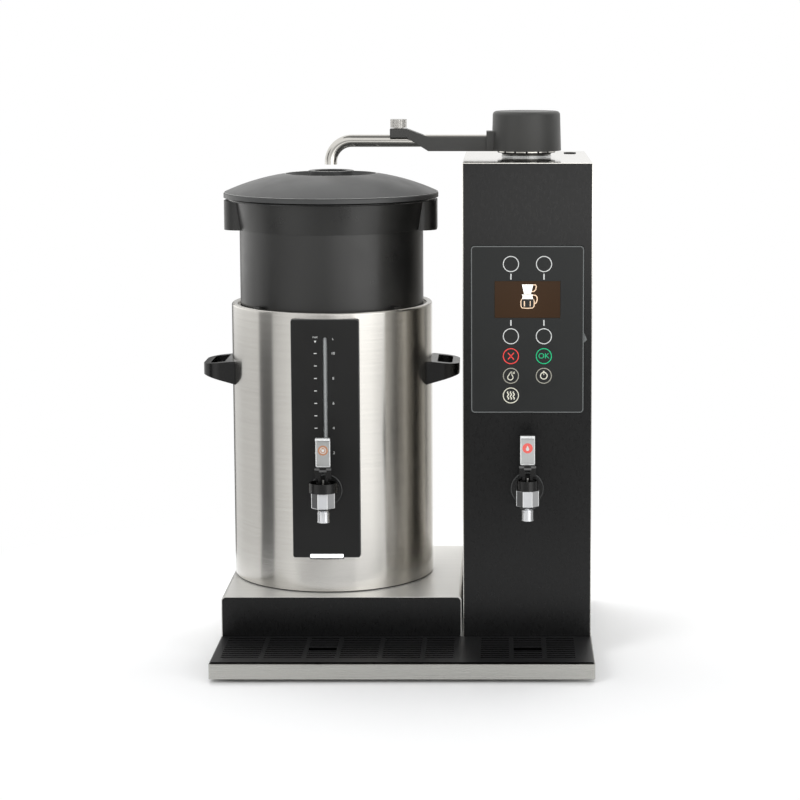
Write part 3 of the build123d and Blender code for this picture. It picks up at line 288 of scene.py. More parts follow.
urn_steel = brushed(
    "urn_steel", STEEL, 0.20, (5.0, 60.0, ACROSS), axis=urn_centre, anisotropy=0.85
)
# A lighter, partly metallic copy of the sheet steel for the shelf: painted light
sheet_steel_x = brushed(
    "sheet_steel_x", (0.80, 0.79, 0.76), 0.36, (ALONG, ACROSS, ACROSS), anisotropy=0.3, metallic=0.6
)
# A darker copy of the sheet steel for the base's lip: painted shade
shaded_lip_steel = brushed("shaded_lip_steel", (0.47, 0.465, 0.44), 0.28, (ALONG, ACROSS, ACROSS), edge=0.8 * MM)
sheet_steel_z = brushed(
    "sheet_steel_z", STEEL, 0.20, (ACROSS, ACROSS, ALONG), level_grain=False, top=0.07
)
pressed_steel = brushed("pressed_steel", (0.60, 0.59, 0.57), 0.34, EVEN_GRAIN, anisotropy=0.0)
charcoal_coat = coated("charcoal_coat", (0.0040, 0.0041, 0.0043), 0.30, Specular_IOR_Level=0.34)
panel_foil = moulded(
    "panel_foil",
    (0.0095, 0.0105, 0.0105),
    0.42,
    grain=1500.0,
    depth=0.004 * MM,
    Specular_IOR_Level=0.35,
)
lid_plastic = moulded("lid_plastic", (0.046, 0.047, 0.047), 0.40)
basket_plastic = moulded(
    "basket_plastic", (0.013, 0.013, 0.0125), 0.32, depth=0.002 * MM, Specular_IOR_Level=0.6
)
arm_plastic = moulded("arm_plastic", (0.046, 0.046, 0.044), 0.42, edge=1.5 * MM)
clip_plastic = moulded("clip_plastic", (0.10, 0.10, 0.10), 0.35)
# Light grey for the painted highlights on the lid's edges
lid_highlight = moulded("lid_highlight", (0.34, 0.34, 0.33), 0.3, depth=0.002 * MM)
# Dark grey for the painted highlight on the rosettes' edges
edge_highlight = moulded("edge_highlight", (0.05, 0.052, 0.052), 0.25)
# The cover's upright faces carry painted shade
cover_plastic = slotted_cover("cover_plastic", (0.0060, 0.0060, 0.0065), 0.40, 0.45)
black_plastic = moulded("black_plastic", (0.006, 0.006, 0.006), 0.22, depth=0.002 * MM)
handle_plastic = moulded(
    "handle_plastic", (0.007, 0.007, 0.007), 0.20, depth=0.003 * MM, edge=1.2 * MM
)
gauge_plastic = moulded(
    "gauge_plastic",
    (0.0075, 0.0075, 0.0075),
    0.42,
    grain=1600.0,
    depth=0.004 * MM,
    Specular_IOR_Level=0.35,
)
rubber = moulded("rubber", (0.012, 0.012, 0.012), 0.75, grain=1200.0)
circuit_board = moulded("circuit_board", (0.02, 0.10, 0.05), 0.4, grain=400.0)
chrome = polished("chrome", (0.86, 0.87, 0.88), 0.06)
# Its front facets are less metallic: painted highlight
tap_chrome = polished("tap_chrome", (0.84, 0.85, 0.87), 0.05, edge=1.6 * MM, front=0.5)
polished_steel = polished("polished_steel", (0.68, 0.665, 0.63), 0.13, edge=0.0)
screw_steel = polished("screw_steel", (0.60, 0.59, 0.57), 0.35, edge=0.0)
# A dark copy of polished steel for the hub collar: painted shade under the hub cap
shaded_collar_steel = polished("shaded_collar_steel", (0.12, 0.118, 0.11), 0.20)
brass = polished("brass", (0.70, 0.53, 0.26), 0.25)
heater_metal = brushed("heater_metal", (0.40, 0.39, 0.38), 0.40, EVEN_GRAIN, anisotropy=0.0)
lever_metal = brushed(
    "lever_metal", (0.62, 0.63, 0.63), 0.42, (2400.0, 2400.0, 30.0), anisotropy=0.2
)
# Near-white and partly metallic: painted highlight on rims, corners and the collar's foot
highlight_metal = polished("highlight_metal", (0.93, 0.94, 0.94), 0.22, metallic=0.3)


def display_glass():
    """The lit screen: dark brown, a little brighter towards its middle."""
    finish = Finish("display_glass", (0.020, 0.011, 0.006), 0.12, Specular_IOR_Level=0.08)
    low, high = display_low, display_high
    middle = ((low.x + high.x) / 2, low.y, (low.z + high.z) / 2)
    offset = finish.feed(finish.node("VectorMath", operation="DISTANCE"), (finish.place(), middle))
    glow = finish.spread(offset.outputs["Value"], 0.75, 0.5, (0.0, high.x - low.x))
    finish.set("Emission Color", (0.048, 0.026, 0.014, 1.0))
    finish.link(glow, finish.shader.inputs["Emission Strength"])
    return finish.material


def clear_tube():
    finish = Finish("clear_tube", (0.62, 0.64, 0.64), 0.06, IOR=1.47, Transmission_Weight=0.45)
    haze = finish.noise(finish.place(), (400.0, 400.0, 40.0))
    finish.vary_roughness(haze, 0.02)
    finish.bump(haze, 0.003 * MM)
    return finish.material


def light_lens():
    """White diffuser, brighter over its lamps."""
    finish = Finish("light_lens", (0.92, 0.93, 0.94), 0.3)
    glow = finish.noise(finish.place(), (90.0, 20.0, 20.0), detail=1.0)
    finish.set("Emission Color", (1.0, 1.0, 1.0, 1.0))
    finish.link(finish.spread(glow, 0.9, 1.4), finish.shader.inputs["Emission Strength"])
    return finish.material


# Dull near-black: painted shade on the drip cover's front step
painted_step_shade = moulded(
    "painted_step_shade", (0.0015, 0.0015, 0.0015), 0.9, grain=1200.0, Specular_IOR_Level=0.05
)
display = display_glass()
glass = clear_tube()
lens = light_lens()

node_finish = {
    "base_frame": shaded_lip_steel,
    "base_feet": rubber,
    # Black plastic on the drip tray, so the cover's slots read dark: painted shade
    "drip_tray": black_plastic,
    "drip_cover": cover_plastic,
    "shelf_casing": sheet_steel_x,
    "shelf_front": charcoal_coat,
    "contact_block": black_plastic,
    "column_casing": sheet_steel_z,
    "column_front": charcoal_coat,
    "column_back": sheet_steel_z,
    "case_screws": chrome,
    "column_grommet": rubber,
    "panel_bezel": panel_foil,
    "display_screen": display,
    "control_board": circuit_board,
    "boiler_tank": pressed_steel,
    "boiler_lid": pressed_steel,
    "heating_element": heater_metal,
    "inlet_valve": brass,
    "hot_water_pipe": pressed_steel,
    "brew_pipe": pressed_steel,
    "cable_gland": black_plastic,
    "hub_collar": shaded_collar_steel,
    "arm_bracket": arm_plastic,
    "hub_cap": arm_plastic,
    "spout_pipe": polished_steel,
    "clamp_screw": screw_steel,
    "urn_shell": urn_steel,
    "urn_vessel": pressed_steel,
    "urn_base": black_plastic,
    "urn_heater": heater_metal,
    "gauge_panel": gauge_plastic,
    "gauge_tube": glass,
    "light_bar": lens,
    "handle_left": handle_plastic,
    "handle_right": handle_plastic,
    "filter_basket": basket_plastic,
    "filter_support": basket_plastic,
    "basket_lid": lid_plastic,
}
for number in range(1, 10):
    node_finish[f"key_{number}"] = panel_foil
for tap in ("hot_tap", "urn_tap"):
    node_finish[f"{tap}_rosette"] = black_plastic
    node_finish[f"{tap}_body"] = tap_chrome
    node_finish[f"{tap}_bonnet"] = black_plastic
    node_finish[f"{tap}_lever"] = black_plastic
    node_finish[f"{tap}_plate"] = lever_metal
    node_finish[f"{tap}_stem"] = pressed_steel

for name, node in nodes.items():
    node.data.materials.clear()
    node.data.materials.append(node_finish[name])

# ---------------------------------------------------------------- printed marks


class Marks:
    """Flat shapes on one front-facing plane, gathered into a single thin piece."""

    def __init__(self, name, y, body, material, slot, thickness=PRINT):
        self.name, self.body, self.material, self.slot_name = name, body, material, slot
        self.front, self.back = y - thickness, y
        self.mesh = bmesh.new()

    def polygon(self, points):
        front = [self.mesh.verts.new((x, self.front, z)) for x, z in points]
        back = [self.mesh.verts.new((x, self.back, z)) for x, z in points]
        self.mesh.faces.new(front)
        count = len(points)
        for i in range(count):
            j = (i + 1) % count
            self.mesh.faces.new((front[j], front[i], back[i], back[j]))

    def box(self, x, z, width, height):
        w, h = width / 2, height / 2
        self.polygon([(x - w, z - h), (x + w, z - h), (x + w, z + h), (x - w, z + h)])

    def disc(self, x, z, radius, steps=48):
        turn = [2 * math.pi * i / steps for i in range(steps)]
        self.polygon([(x + radius * math.cos(a), z + radius * math.sin(a)) for a in turn])

    def band(self, path, width, closed=False):
        """A stroke of even width along a path of (x, z) points."""
        count = len(path)
        sides = ([], [])
        for i, (x, z) in enumerate(path):
            before = path[i - 1] if i or closed else path[i]
            after = path[(i + 1) % count] if i < count - 1 or closed else path[i]
            along = Vector((after[0] - before[0], after[1] - before[1])).normalized()
            across = Vector((-along.y, along.x)) * width / 2
            sides[0].append((x + across.x, z + across.y))
            sides[1].append((x - across.x, z - across.y))
        for i in range(count if closed else count - 1):
            j = (i + 1) % count
            self.polygon([sides[0][i], sides[1][i], sides[1][j], sides[0][j]])

    def ring(self, x, z, radius, width, start=0.0, sweep=360.0, steps=64):
        closed = sweep >= 360.0
        count = steps if closed else steps + 1
        angles = [math.radians(start + sweep * i / steps) for i in range(count)]
        path = [(x + radius * math.cos(a), z + radius * math.sin(a)) for a in angles]
        self.band(path, width, closed)

    def rounded(self, low, high, radius, width, steps=10):
        """The outline of a rounded rectangle, as a stroke inside the given corners."""
        inset = width / 2
        path = []
        corners = ((high, high, 0), (low, high, 90), (low, low, 180), (high, low, 270))
        for horizontal, vertical, start in corners:
            x_side = 1 if horizontal is high else -1
            z_side = 1 if vertical is high else -1
            cx = horizontal[0] - x_side * radius
            cz = vertical[1] - z_side * radius
            for i in range(steps + 1):
                a = math.radians(start + 90 * i / steps)
                arc = radius - inset
                path.append((cx + arc * math.cos(a), cz + arc * math.sin(a)))
        self.band(path, width, closed=True)

    def text(self, words, x, z, height):
        curve = bpy.data.curves.new(self.name, "FONT")
        curve.body = words
        curve.align_x, curve.align_y = "CENTER", "CENTER"
        curve.size = height / 0.7
        curve.extrude = (self.back - self.front) / 2
        carrier = bpy.data.objects.new(self.name, curve)
        letters = bpy.data.meshes.new_from_object(carrier)
        upright = Matrix.Translation((x, (self.front + self.back) / 2, z)) @ Matrix.Rotation(
            math.radians(90), 4, "X"
        )
        letters.transform(upright)
        self.mesh.from_mesh(letters)
        bpy.data.objects.remove(carrier)
        bpy.data.meshes.remove(letters)
        bpy.data.curves.remove(curve)

    def done(self):
        return piece(self.name, self.mesh, self.body, self.material)


def piece(name, mesh, body, material):
    """Turns a bmesh into an object that rides on a body."""
    bmesh.ops.recalc_face_normals(mesh, faces=mesh.faces)
    data = bpy.data.meshes.new(name)
    mesh.to_mesh(data)
    mesh.free()
    obj = bpy.data.objects.new(name, data)
    bpy.context.scene.collection.objects.link(obj)
    data.materials.append(material)
    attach(obj, body)
    return obj


# Inks with a glow give off faint painted light; those of the screen are lit from behind
white_ink = printed("white_ink", (0.62, 0.63, 0.62), 0.05)
grey_ink = printed("grey_ink", (0.125, 0.132, 0.132))
beige_ink = printed("beige_ink", (0.33, 0.32, 0.27), 0.05)
cream_ink = printed("cream_ink", (0.72, 0.70, 0.58), 0.05)
red_ink = printed("red_ink", (0.82, 0.055, 0.050), 0.12)
green_ink = printed("green_ink", (0.004, 0.46, 0.19), 0.14)
coral_ink = printed("coral_ink", (0.82, 0.13, 0.11))
copper_ink = printed("copper_ink", (0.46, 0.22, 0.12))
screen_white = printed("screen_white", (0.9, 0.88, 0.82), 0.7)
screen_cream = printed("screen_cream", (0.75, 0.55, 0.38), 0.5)
screen_black = printed("screen_black", (0.004, 0.003, 0.002))

# Control panel: outline, the dash at its foot and a small grey triangle at its right side
panel_y = panel_low.y
column_front_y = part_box("column_front")[0].y
panel_outline = Marks("panel_outline", panel_y, "root", grey_ink, "panel_foil")
outline_inset = 0.6 * MM
outline_radius = 5.6 * MM
panel_outline.rounded(
    (panel_low.x + outline_inset, panel_low.z + outline_inset),
    (panel_high.x - outline_inset, panel_high.z - outline_inset),
    outline_radius,
    1.5 * MM,
)
panel_outline.box((panel_low.x + panel_high.x) / 2, panel_low.z + 2.1 * MM, 19 * MM, 1.2 * MM)
panel_outline.done()
side_triangle = Marks("panel_side_triangle", column_front_y, "root", grey_ink, "panel_foil", 0.8 * MM)
triangle_z = panel_low.z + 107.0 * MM
triangle_height = 15.0 * MM
triangle_reach = 4.4 * MM
side_triangle.polygon(
    [
        (panel_high.x, triangle_z + triangle_height),
        (panel_high.x, triangle_z),
        (panel_high.x + triangle_reach, triangle_z + triangle_reach),
    ]
)
side_triangle.done()

# Rounded upper corners of the shelf's casing, folded over its front plate
front_low, front_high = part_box("shelf_front")
corners = Marks("shelf_corner_folds", front_low.y, "root", sheet_steel_x, "stainless", 0.3 * MM)
fold_radius = 5.0 * MM
quarter_turn = [math.radians(10 * i) for i in range(10)]
for side, x in ((1, front_low.x), (-1, front_high.x)):
    arc = [
        (
            x + side * fold_radius * (1 - math.cos(a)),
            front_high.z - fold_radius * (1 - math.sin(a)),
        )
        for a in quarter_turn
    ]
    corners.polygon([(x, front_high.z)] + arc[::-1])
corners.done()

# Leads from the four menu keys to the screen
key_places = [centre(f"key_{number}") for number in range(1, 10)]
lead_width = 1.9 * MM
lead_length = 8.6 * MM
leads = Marks("panel_leads", panel_y, "root", white_ink, "panel_foil")
for place in key_places[:2]:
    leads.box(place.x, display_high.z + 7.0 * MM, lead_width, lead_length)
for place in key_places[2:4]:
    leads.box(place.x, display_low.z - 7.6 * MM, lead_width, lead_length)
leads.done()

KEY_RING = 11.4 * MM
KEY_LINE = 1.35 * MM


def key_marks(number, material, ring_material=None):
    """Draws the ring round a key. Returns the marks inside it, to be filled in, and its middle."""
    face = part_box(f"key_{number}")[0].y
    place = key_places[number - 1]
    marks = Marks(f"key_{number}_mark", face, f"key{number}", material, "key_foil")
    outline = marks
    if ring_material:
        outline = Marks(f"key_{number}_ring", face, f"key{number}", ring_material, "key_foil")
    outline.ring(place.x, place.z, KEY_RING, KEY_LINE)
    if ring_material:
        outline.done()
    return marks, place.x, place.z


def drop(tip, middle, radius, start, sweep, steps=24):
    """A drop's outline: its tip, then an arc round its middle, clockwise from start in degrees."""
    turn = [math.radians(start - sweep * i / steps) for i in range(steps + 1)]
    arc = [(middle[0] + radius * math.cos(a), middle[1] + radius * math.sin(a)) for a in turn]
    return [tip] + arc


for number in range(1, 5):
    key_marks(number, white_ink)[0].done()

cancel, x, z = key_marks(5, red_ink)
for lean in (-1, 1):
    across = lean * 4.4 * MM
    cancel.band([(x - across, z - 5.0 * MM), (x + across, z + 5.0 * MM)], 1.5 * MM)
cancel.done()

confirm, x, z = key_marks(6, green_ink)
confirm.text("OK", x, z, 8.0 * MM)
confirm.done()

rinse, x, z = key_marks(7, cream_ink, beige_ink)
rinse_tip = (x + 0.6 * MM, z + 6.6 * MM)
rinse_middle = (x - 0.8 * MM, z - 2.4 * MM)
rinse.band(drop(rinse_tip, rinse_middle, 4.0 * MM, 50, 280), 1.3 * MM, closed=True)
cross_x, cross_z = x + 4.4 * MM, z + 4.4 * MM
cross_arm = 2.2 * MM
for degrees in (45, 135):
    a = math.radians(degrees)
    across, up = cross_arm * math.cos(a), cross_arm * math.sin(a)
    rinse.band([(cross_x - across, cross_z - up), (cross_x + across, cross_z + up)], 0.9 * MM)
rinse.done()

timer, x, z = key_marks(8, cream_ink, beige_ink)
timer.ring(x, z, 5.0 * MM, 1.5 * MM)
timer.band([(x, z + 1.0 * MM), (x, z + 3.4 * MM)], 1.2 * MM)
timer.box(x, z + 6.6 * MM, 2.6 * MM, 1.4 * MM)
timer.done()

warm, x, z = key_marks(9, cream_ink)
wave_swing = 0.9 * MM
for column in (-1, 0, 1):
    wave_x = x + column * 4.3 * MM
    wave = [
        (wave_x + wave_swing * math.sin(2 * math.pi * i / 12), z + (i - 12) / 2 * MM)
        for i in range(25)
    ]
    warm.band(wave, 1.7 * MM)
warm.done()

# Screen: a filter holder over a glass pot
screen_y = display_low.y
sx, sz = (display_low.x + display_high.x) / 2, (display_low.z + display_high.z) / 2


def at(points):
    """Places on the screen from millimetres beside and above its middle."""
    return [(sx + x * MM, sz + z * MM) for x, z in points]


holder = Marks("screen_holder", screen_y, "root", screen_white, "display_glass")
holder.polygon(at([(-8.2, 22.6), (8.6, 22.6), (5.2, 8.4), (-5.0, 8.4)]))
holder.polygon(at([(-8.4, 7.6), (8.8, 7.6), (7.6, 5.6), (-7.2, 5.6)]))
holder.polygon(at([(-7.0, 5.4), (7.2, 5.4), (8.4, 0.8), (-8.0, 0.8)]))
holder.done()
pot = Marks("screen_pot", screen_y, "root", screen_cream, "display_glass")
holder_grip = [(8.6, 22.0), (12.0, 22.2), (13.2, 20.0), (12.4, 15.0), (9.8, 12.2), (6.8, 12.0)]
pot_grip = [(8.8, 6.6), (12.2, 6.4), (14.4, 3.6), (14.6, -0.6), (13.0, -5.0), (10.0, -6.2)]
pot_left = [(-8.4, 0.8), (-9.8, -3.0), (-9.6, -10.0), (-8.0, -12.6), (0.0, -13.2)]
pot_right = [(8.0, -12.6), (10.0, -10.0), (10.2, -3.0), (8.8, 0.8)]
pot.band(at(holder_grip), 1.5 * MM)
pot.band(at(pot_grip), 1.6 * MM)
pot.band(at(pot_left + pot_right), 1.3 * MM)
pot.done()
brew = Marks("screen_brew", screen_y, "root", screen_black, "display_glass")
brew_right = [(-8.6, 0.0), (9.0, 0.6), (9.4, -3.0), (9.2, -9.6), (7.6, -11.8)]
brew_left = [(-7.4, -11.8), (-9.0, -9.6), (-9.2, -3.0)]
brew.polygon(at(brew_right + brew_left))
brew.done()
glints = Marks("screen_glints", screen_y - PRINT, "root", screen_cream, "display_glass")
for offset, wide in ((-4.6, 1.6), (4.2, 1.2)):
    glints.box(sx + offset * MM, sz - 6.2 * MM, wide * MM, 8.0 * MM)
glints.done()

# Gauge panel: litre marks at the left of the tube, numbers at its right
gauge_y = gauge_low.y
urn_x = urn_centre.x
ticks_x = urn_x - 14.5 * MM
numbers_x = urn_x + 12.4 * MM
litres = Marks("litre_marks", gauge_y, "urn", white_ink, "gauge_plastic")
ten_litres = gauge_low.z + 315.2 * MM
litre = 19.1 * MM
for amount in range(2, 11):
    z = ten_litres - (10 - amount) * litre
    litres.box(ticks_x, z, 4.2 * MM, 1.3 * MM)
    if amount % 2 == 0:
        litres.text(str(amount), numbers_x, z, 4.0 * MM)
litres.text("MAX", ticks_x, ten_litres + 24.6 * MM, 2.6 * MM)
full = ten_litres + 17.2 * MM
litres.polygon(
    [
        (urn_x - 16.4 * MM, full + 2.2 * MM),
        (urn_x - 12.6 * MM, full + 2.2 * MM),
        (ticks_x, full - 1.2 * MM),
    ]
)
litres.text("L", numbers_x, ten_litres + 22.0 * MM, 3.2 * MM)
litres.done()

# Painted highlight: a lighter line round the gauge panel's edge
gauge_edge_highlight = Marks("gauge_edge_highlight", gauge_y, "urn", grey_ink, "gauge_plastic")
gauge_edge_highlight.rounded((gauge_low.x, gauge_low.z), (gauge_high.x, gauge_high.z), 3.5 * MM, 0.5 * MM)
gauge_edge_highlight.done()


# ---------------------------------------------------------------- small trim


def block(mesh, low, high):
    """Adds an upright box between two corners."""
    size = Vector(high) - Vector(low)
    middle = (Vector(high) + Vector(low)) / 2
    matrix = Matrix.Translation(middle) @ Matrix.Diagonal((*size, 1.0))
    bmesh.ops.create_cube(mesh, size=1.0, matrix=matrix)


def soften(obj, width, segments=2):
    """Rounds the sharp edges of an object."""
    bevel = obj.modifiers.new("edge", "BEVEL")
    bevel.width, bevel.segments, bevel.limit_method = width, segments, "ANGLE"
    return obj


# Painted shade: a near-black block along the front edge of the drip cover,
# where its front face lies in shadow
cover_low, cover_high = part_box("drip_cover")
step_inset = 2 * MM
step_depth = 3.4 * MM
step_proud = 0.1 * MM
step = bmesh.new()
block(
    step,
    (cover_low.x + step_inset, cover_low.y - step_proud, cover_low.z + 0.2 * MM),
    (cover_high.x - step_inset, cover_low.y + step_depth, cover_high.z + step_proud),
)
piece("cover_step_shade", step, "cover", painted_step_shade)

# The light bar's lens, slimmer than its housing
bar_low, bar_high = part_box("light_bar")
lens_inset = 0.6 * MM
lens_height = 6.2 * MM
bar = bmesh.new()
block(
    bar,
    (bar_low.x + lens_inset, bar_low.y, bar_high.z - lens_height),
    (bar_high.x - lens_inset, bar_high.y, bar_high.z),
)
lens_bar = soften(piece("light_lens_bar", bar, "urn", lens), 1.6 * MM, 4)
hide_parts("light_bar")

# The white strip behind the gauge tube
tube_low, tube_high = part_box("gauge_tube")
strip_half = 4.1 * MM
strip_y = (tube_high.y + 0.1 * MM, tube_high.y + 0.7 * MM)
strip = bmesh.new()
block(
    strip,
    (urn_x - strip_half, strip_y[0], tube_low.z + 2 * MM),
    (urn_x + strip_half, strip_y[1], tube_high.z - 1 * MM),
)
strip_white = printed("strip_white", (0.50, 0.52, 0.52))
piece("gauge_strip", strip, "urn", strip_white)


def hoop(mesh, axis, profile, start=0.0, sweep=360.0, steps=64):
    """Turns a closed profile of (radius, z) about an upright axis, all round or over part of it."""
    whole = sweep >= 360.0
    rings = []
    for i in range(steps if whole else steps + 1):
        a = math.radians(start + sweep * i / steps)
        places = [(axis.x + r * math.cos(a), axis.y + r * math.sin(a), z) for r, z in profile]
        rings.append([mesh.verts.new(place) for place in places])
    pairs = list(zip(rings, rings[1:]))
    if whole:
        pairs.append((rings[-1], rings[0]))
    count = len(profile)
    for one, other in pairs:
        for k in range(count):
            mesh.faces.new((one[k], one[(k + 1) % count], other[(k + 1) % count], other[k]))
    if not whole:
        mesh.faces.new(rings[0])
        mesh.faces.new(rings[-1][::-1])


def band_profile(radius, thickness, low, high):
    """An upright band's section, for hoop. The radius is its outside."""
    return [(radius - thickness, low), (radius, low), (radius, high), (radius - thickness, high)]


# Bearing race under the hub cap: bright segments with dark gaps. Below it, a dark rubber ring round
# the collar's top: painted shade under the cap
cap_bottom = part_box("hub_cap")[0].z
under_cap = cap_bottom - 0.2 * MM
shade_step = cap_bottom - 3.2 * MM
race_profile = band_profile(46.6 * MM, 1.4 * MM, cap_bottom - 2.2 * MM, under_cap)
segment_pitch = 22.5  # degrees, as the two below
segment_start = 2.0
segment_sweep = 18.5
race = bmesh.new()
for number in range(16):
    start = number * segment_pitch + segment_start
    hoop(race, hub_centre, race_profile, start, segment_sweep, 6)
piece("turntable_race", race, "swing_arm", polished_steel)
shade_skirt = band_profile(45.0 * MM, 7.0 * MM, shade_step, under_cap)
shade_lip = band_profile(38.8 * MM, 0.8 * MM, cap_bottom - 5.2 * MM, shade_step)
shade_ring = bmesh.new()
hoop(shade_ring, hub_centre, shade_skirt)
hoop(shade_ring, hub_centre, shade_lip)
piece("collar_shade_ring", shade_ring, "swing_arm", rubber)

# Painted highlight: a bright ring at the foot of the collar
collar_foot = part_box("hub_collar")[0].z
foot_band = band_profile(38.7 * MM, 0.6 * MM, collar_foot + 0.1 * MM, collar_foot + 2.0 * MM)
foot = bmesh.new()
hoop(foot, hub_centre, foot_band)
piece("collar_foot_highlight", foot, "root", highlight_metal)

# Painted highlights on the lid's edges: its rim, its recess and the ring in the middle
lid_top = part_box("basket_lid")[1].z
lid_rim = (166.6 * MM, lid_top - 32.9 * MM)  # radius and height
recess_rim = (71.7 * MM, lid_top - 4.8 * MM)
ring_rim = (35.0 * MM, lid_top)
highlight_width = 0.7 * MM
edges = bmesh.new()
for radius, z in (lid_rim, recess_rim, ring_rim):
    diamond = [(radius - highlight_width, z), (radius, z - highlight_width), (radius + highlight_width, z), (radius, z + 0.4 * highlight_width)]
    hoop(edges, urn_centre, diamond, steps=128)
piece("lid_edge_highlights", edges, "lid", lid_highlight)

# Glossy bead round the basket's flange
bead_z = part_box("filter_basket")[1].z - 2.2 * MM
flange_radius = 160.2 * MM
bead_radius = 1.9 * MM
half_turn = [math.radians(degrees) for degrees in range(-90, 91, 30)]
bead = bmesh.new()
hoop(
    bead,
    urn_centre,
    [
        (flange_radius + bead_radius * math.cos(a), bead_z + bead_radius * math.sin(a))
        for a in half_turn
    ],
    steps=128,
)
piece("basket_bead", bead, "basket", black_plastic)

# Lever plates: a folded rim round each face, near-white as painted highlight, a painted shadow
# under the top fold, a coloured disc with its sign, and a clip below
for tap, body, ink, sign in (
    ("hot_tap", "hot_lever", coral_ink, "drop"),
    ("urn_tap", "urn_lever", copper_ink, "cup"),
):
    low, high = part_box(f"{tap}_plate")
    x = (low.x + high.x) / 2
    sheet = 1.6 * MM
    face_y = high.y - sheet
    rim_y = face_y - 1.1 * MM
    rim_width = 1.3 * MM
    # The rim and the top fold are folds of the plate, near-white as painted highlight
    rim = bmesh.new()
    for x0, x1 in ((low.x, low.x + rim_width), (high.x - rim_width, high.x)):
        block(rim, (x0, rim_y, low.z), (x1, face_y, high.z - sheet))
    block(rim, (low.x, rim_y, low.z), (high.x, face_y, low.z + rim_width))
    soften(piece(f"{tap}_plate_rim", rim, body, highlight_metal), 0.3 * MM)
    fold_y = (low.y - 0.4 * MM, low.y + 0.2 * MM)
    fold_height = 3.6 * MM
    fold = bmesh.new()
    block(fold, (low.x, fold_y[0], high.z - fold_height), (high.x, fold_y[1], high.z))
    soften(piece(f"{tap}_plate_fold", fold, body, highlight_metal), 0.3 * MM)
    # Painted shadow: a dark line under the top fold
    shade = Marks(f"{tap}_fold_shadow", face_y, body, black_plastic, "lever_plate")
    shade.box(x, high.z - 4.7 * MM, 18.0 * MM, 1.3 * MM)
    shade.done()

    z = low.z + 25.0 * MM
    badge_radius = 7.6 * MM
    badge = Marks(f"{tap}_badge", face_y, body, ink, "lever_plate")
    badge.disc(x, z, badge_radius)
    badge.done()
    signs = Marks(f"{tap}_sign", face_y - PRINT, body, white_ink, "lever_plate")
    if sign == "drop":
        signs.polygon(drop((x, z + 4.4 * MM), (x, z - 1.4 * MM), 2.5 * MM, 40, 260))
    else:
        signs.ring(x, z, 4.4 * MM, 1.0 * MM)
        signs.polygon(
            [
                (x - 2.6 * MM, z + 2.0 * MM),
                (x + 2.6 * MM, z + 2.0 * MM),
                (x + 1.6 * MM, z - 2.4 * MM),
                (x - 1.6 * MM, z - 2.4 * MM),
            ]
        )
    signs.done()

    fork_low, fork_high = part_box(f"{tap}_lever")
    clip_y = fork_low.y - 1.2 * MM
    wing_z = (fork_high.z - 4.2 * MM, fork_high.z - 1.0 * MM)
    bridge_z = (fork_high.z - 7.0 * MM, fork_high.z - 3.8 * MM)
    bridge_half = 5.6 * MM
    clip = bmesh.new()
    for side in (-1, 1):
        x0, x1 = sorted((x + side * 12.6 * MM, x + side * 5.0 * MM))
        block(clip, (x0, clip_y, wing_z[0]), (x1, fork_low.y, wing_z[1]))
    block(clip, (x - bridge_half, clip_y, bridge_z[0]), (x + bridge_half, fork_low.y, bridge_z[1]))
    soften(piece(f"{tap}_clip", clip, body, clip_plastic), 0.5 * MM)

    # Turned taper and beads on the spout
    rides_on = "root" if tap == "hot_tap" else "urn"
    tap_low, tap_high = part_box(f"{tap}_body")
    spout_axis = Vector((x, (fork_low.y + fork_high.y) / 2, 0.0))
    taper = tap_low.z + 19.8 * MM
    taper_foot = taper - 3.4 * MM
    taper_radii = (12.6 * MM, 9.5 * MM)
    inside = 7.0 * MM
    spout_bead = 9.9 * MM
    turned = bmesh.new()
    hoop(
        turned,
        spout_axis,
        [
            (inside, taper),
            (taper_radii[0], taper),
            (taper_radii[1], taper_foot),
            (inside, taper_foot),
        ],
    )
    for bottom, tall in ((taper - 6.4 * MM, 1.3 * MM), (tap_low.z + 0.1 * MM, 2.2 * MM)):
        hoop(turned, spout_axis, band_profile(spout_bead, 1.0 * MM, bottom, bottom + tall))
    soften(piece(f"{tap}_spout_trim", turned, rides_on, tap_chrome), 0.25 * MM)

    # Painted highlights on the octagon's corners: bright strips just inside its true corners
    flat = (tap_high.x - tap_low.x) / 2
    corner = flat * math.tan(math.radians(22.5))
    line_radius = 0.55 * MM
    line_z = (tap_high.z - 23.3 * MM, tap_high.z - 0.1 * MM)
    line_profile = band_profile(line_radius, line_radius, *line_z)
    line_share = 0.985  # of the way from the axis to the corner
    bright = bmesh.new()
    for across, ahead in ((-flat, -corner), (-corner, -flat), (corner, -flat), (flat, -corner)):
        place = spout_axis + line_share * Vector((across, ahead, 0.0))
        hoop(bright, place, line_profile, steps=8)
    piece(f"{tap}_corner_highlights", bright, rides_on, highlight_metal)

    # Painted highlight: a lighter ring on the glossy edge of the rosette
    rosette_low, rosette_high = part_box(f"{tap}_rosette")
    halo = Marks(f"{tap}_rosette_highlight", rosette_low.y, rides_on, edge_highlight, "black_plastic")
    halo.ring(x, (rosette_low.z + rosette_high.z) / 2, 24.2 * MM, 1.3 * MM)
    halo.done()

# ---------------------------------------------------------------- studio


def stage_plane(name, corners, material):
    """A flat part of the studio, on none of the bodies."""
    data = bpy.data.meshes.new(name)
    data.from_pydata(corners, [], [(0, 1, 2, 3)])
    data.materials.append(material)
    obj = bpy.data.objects.new(name, data)
    bpy.context.scene.collection.objects.link(obj)


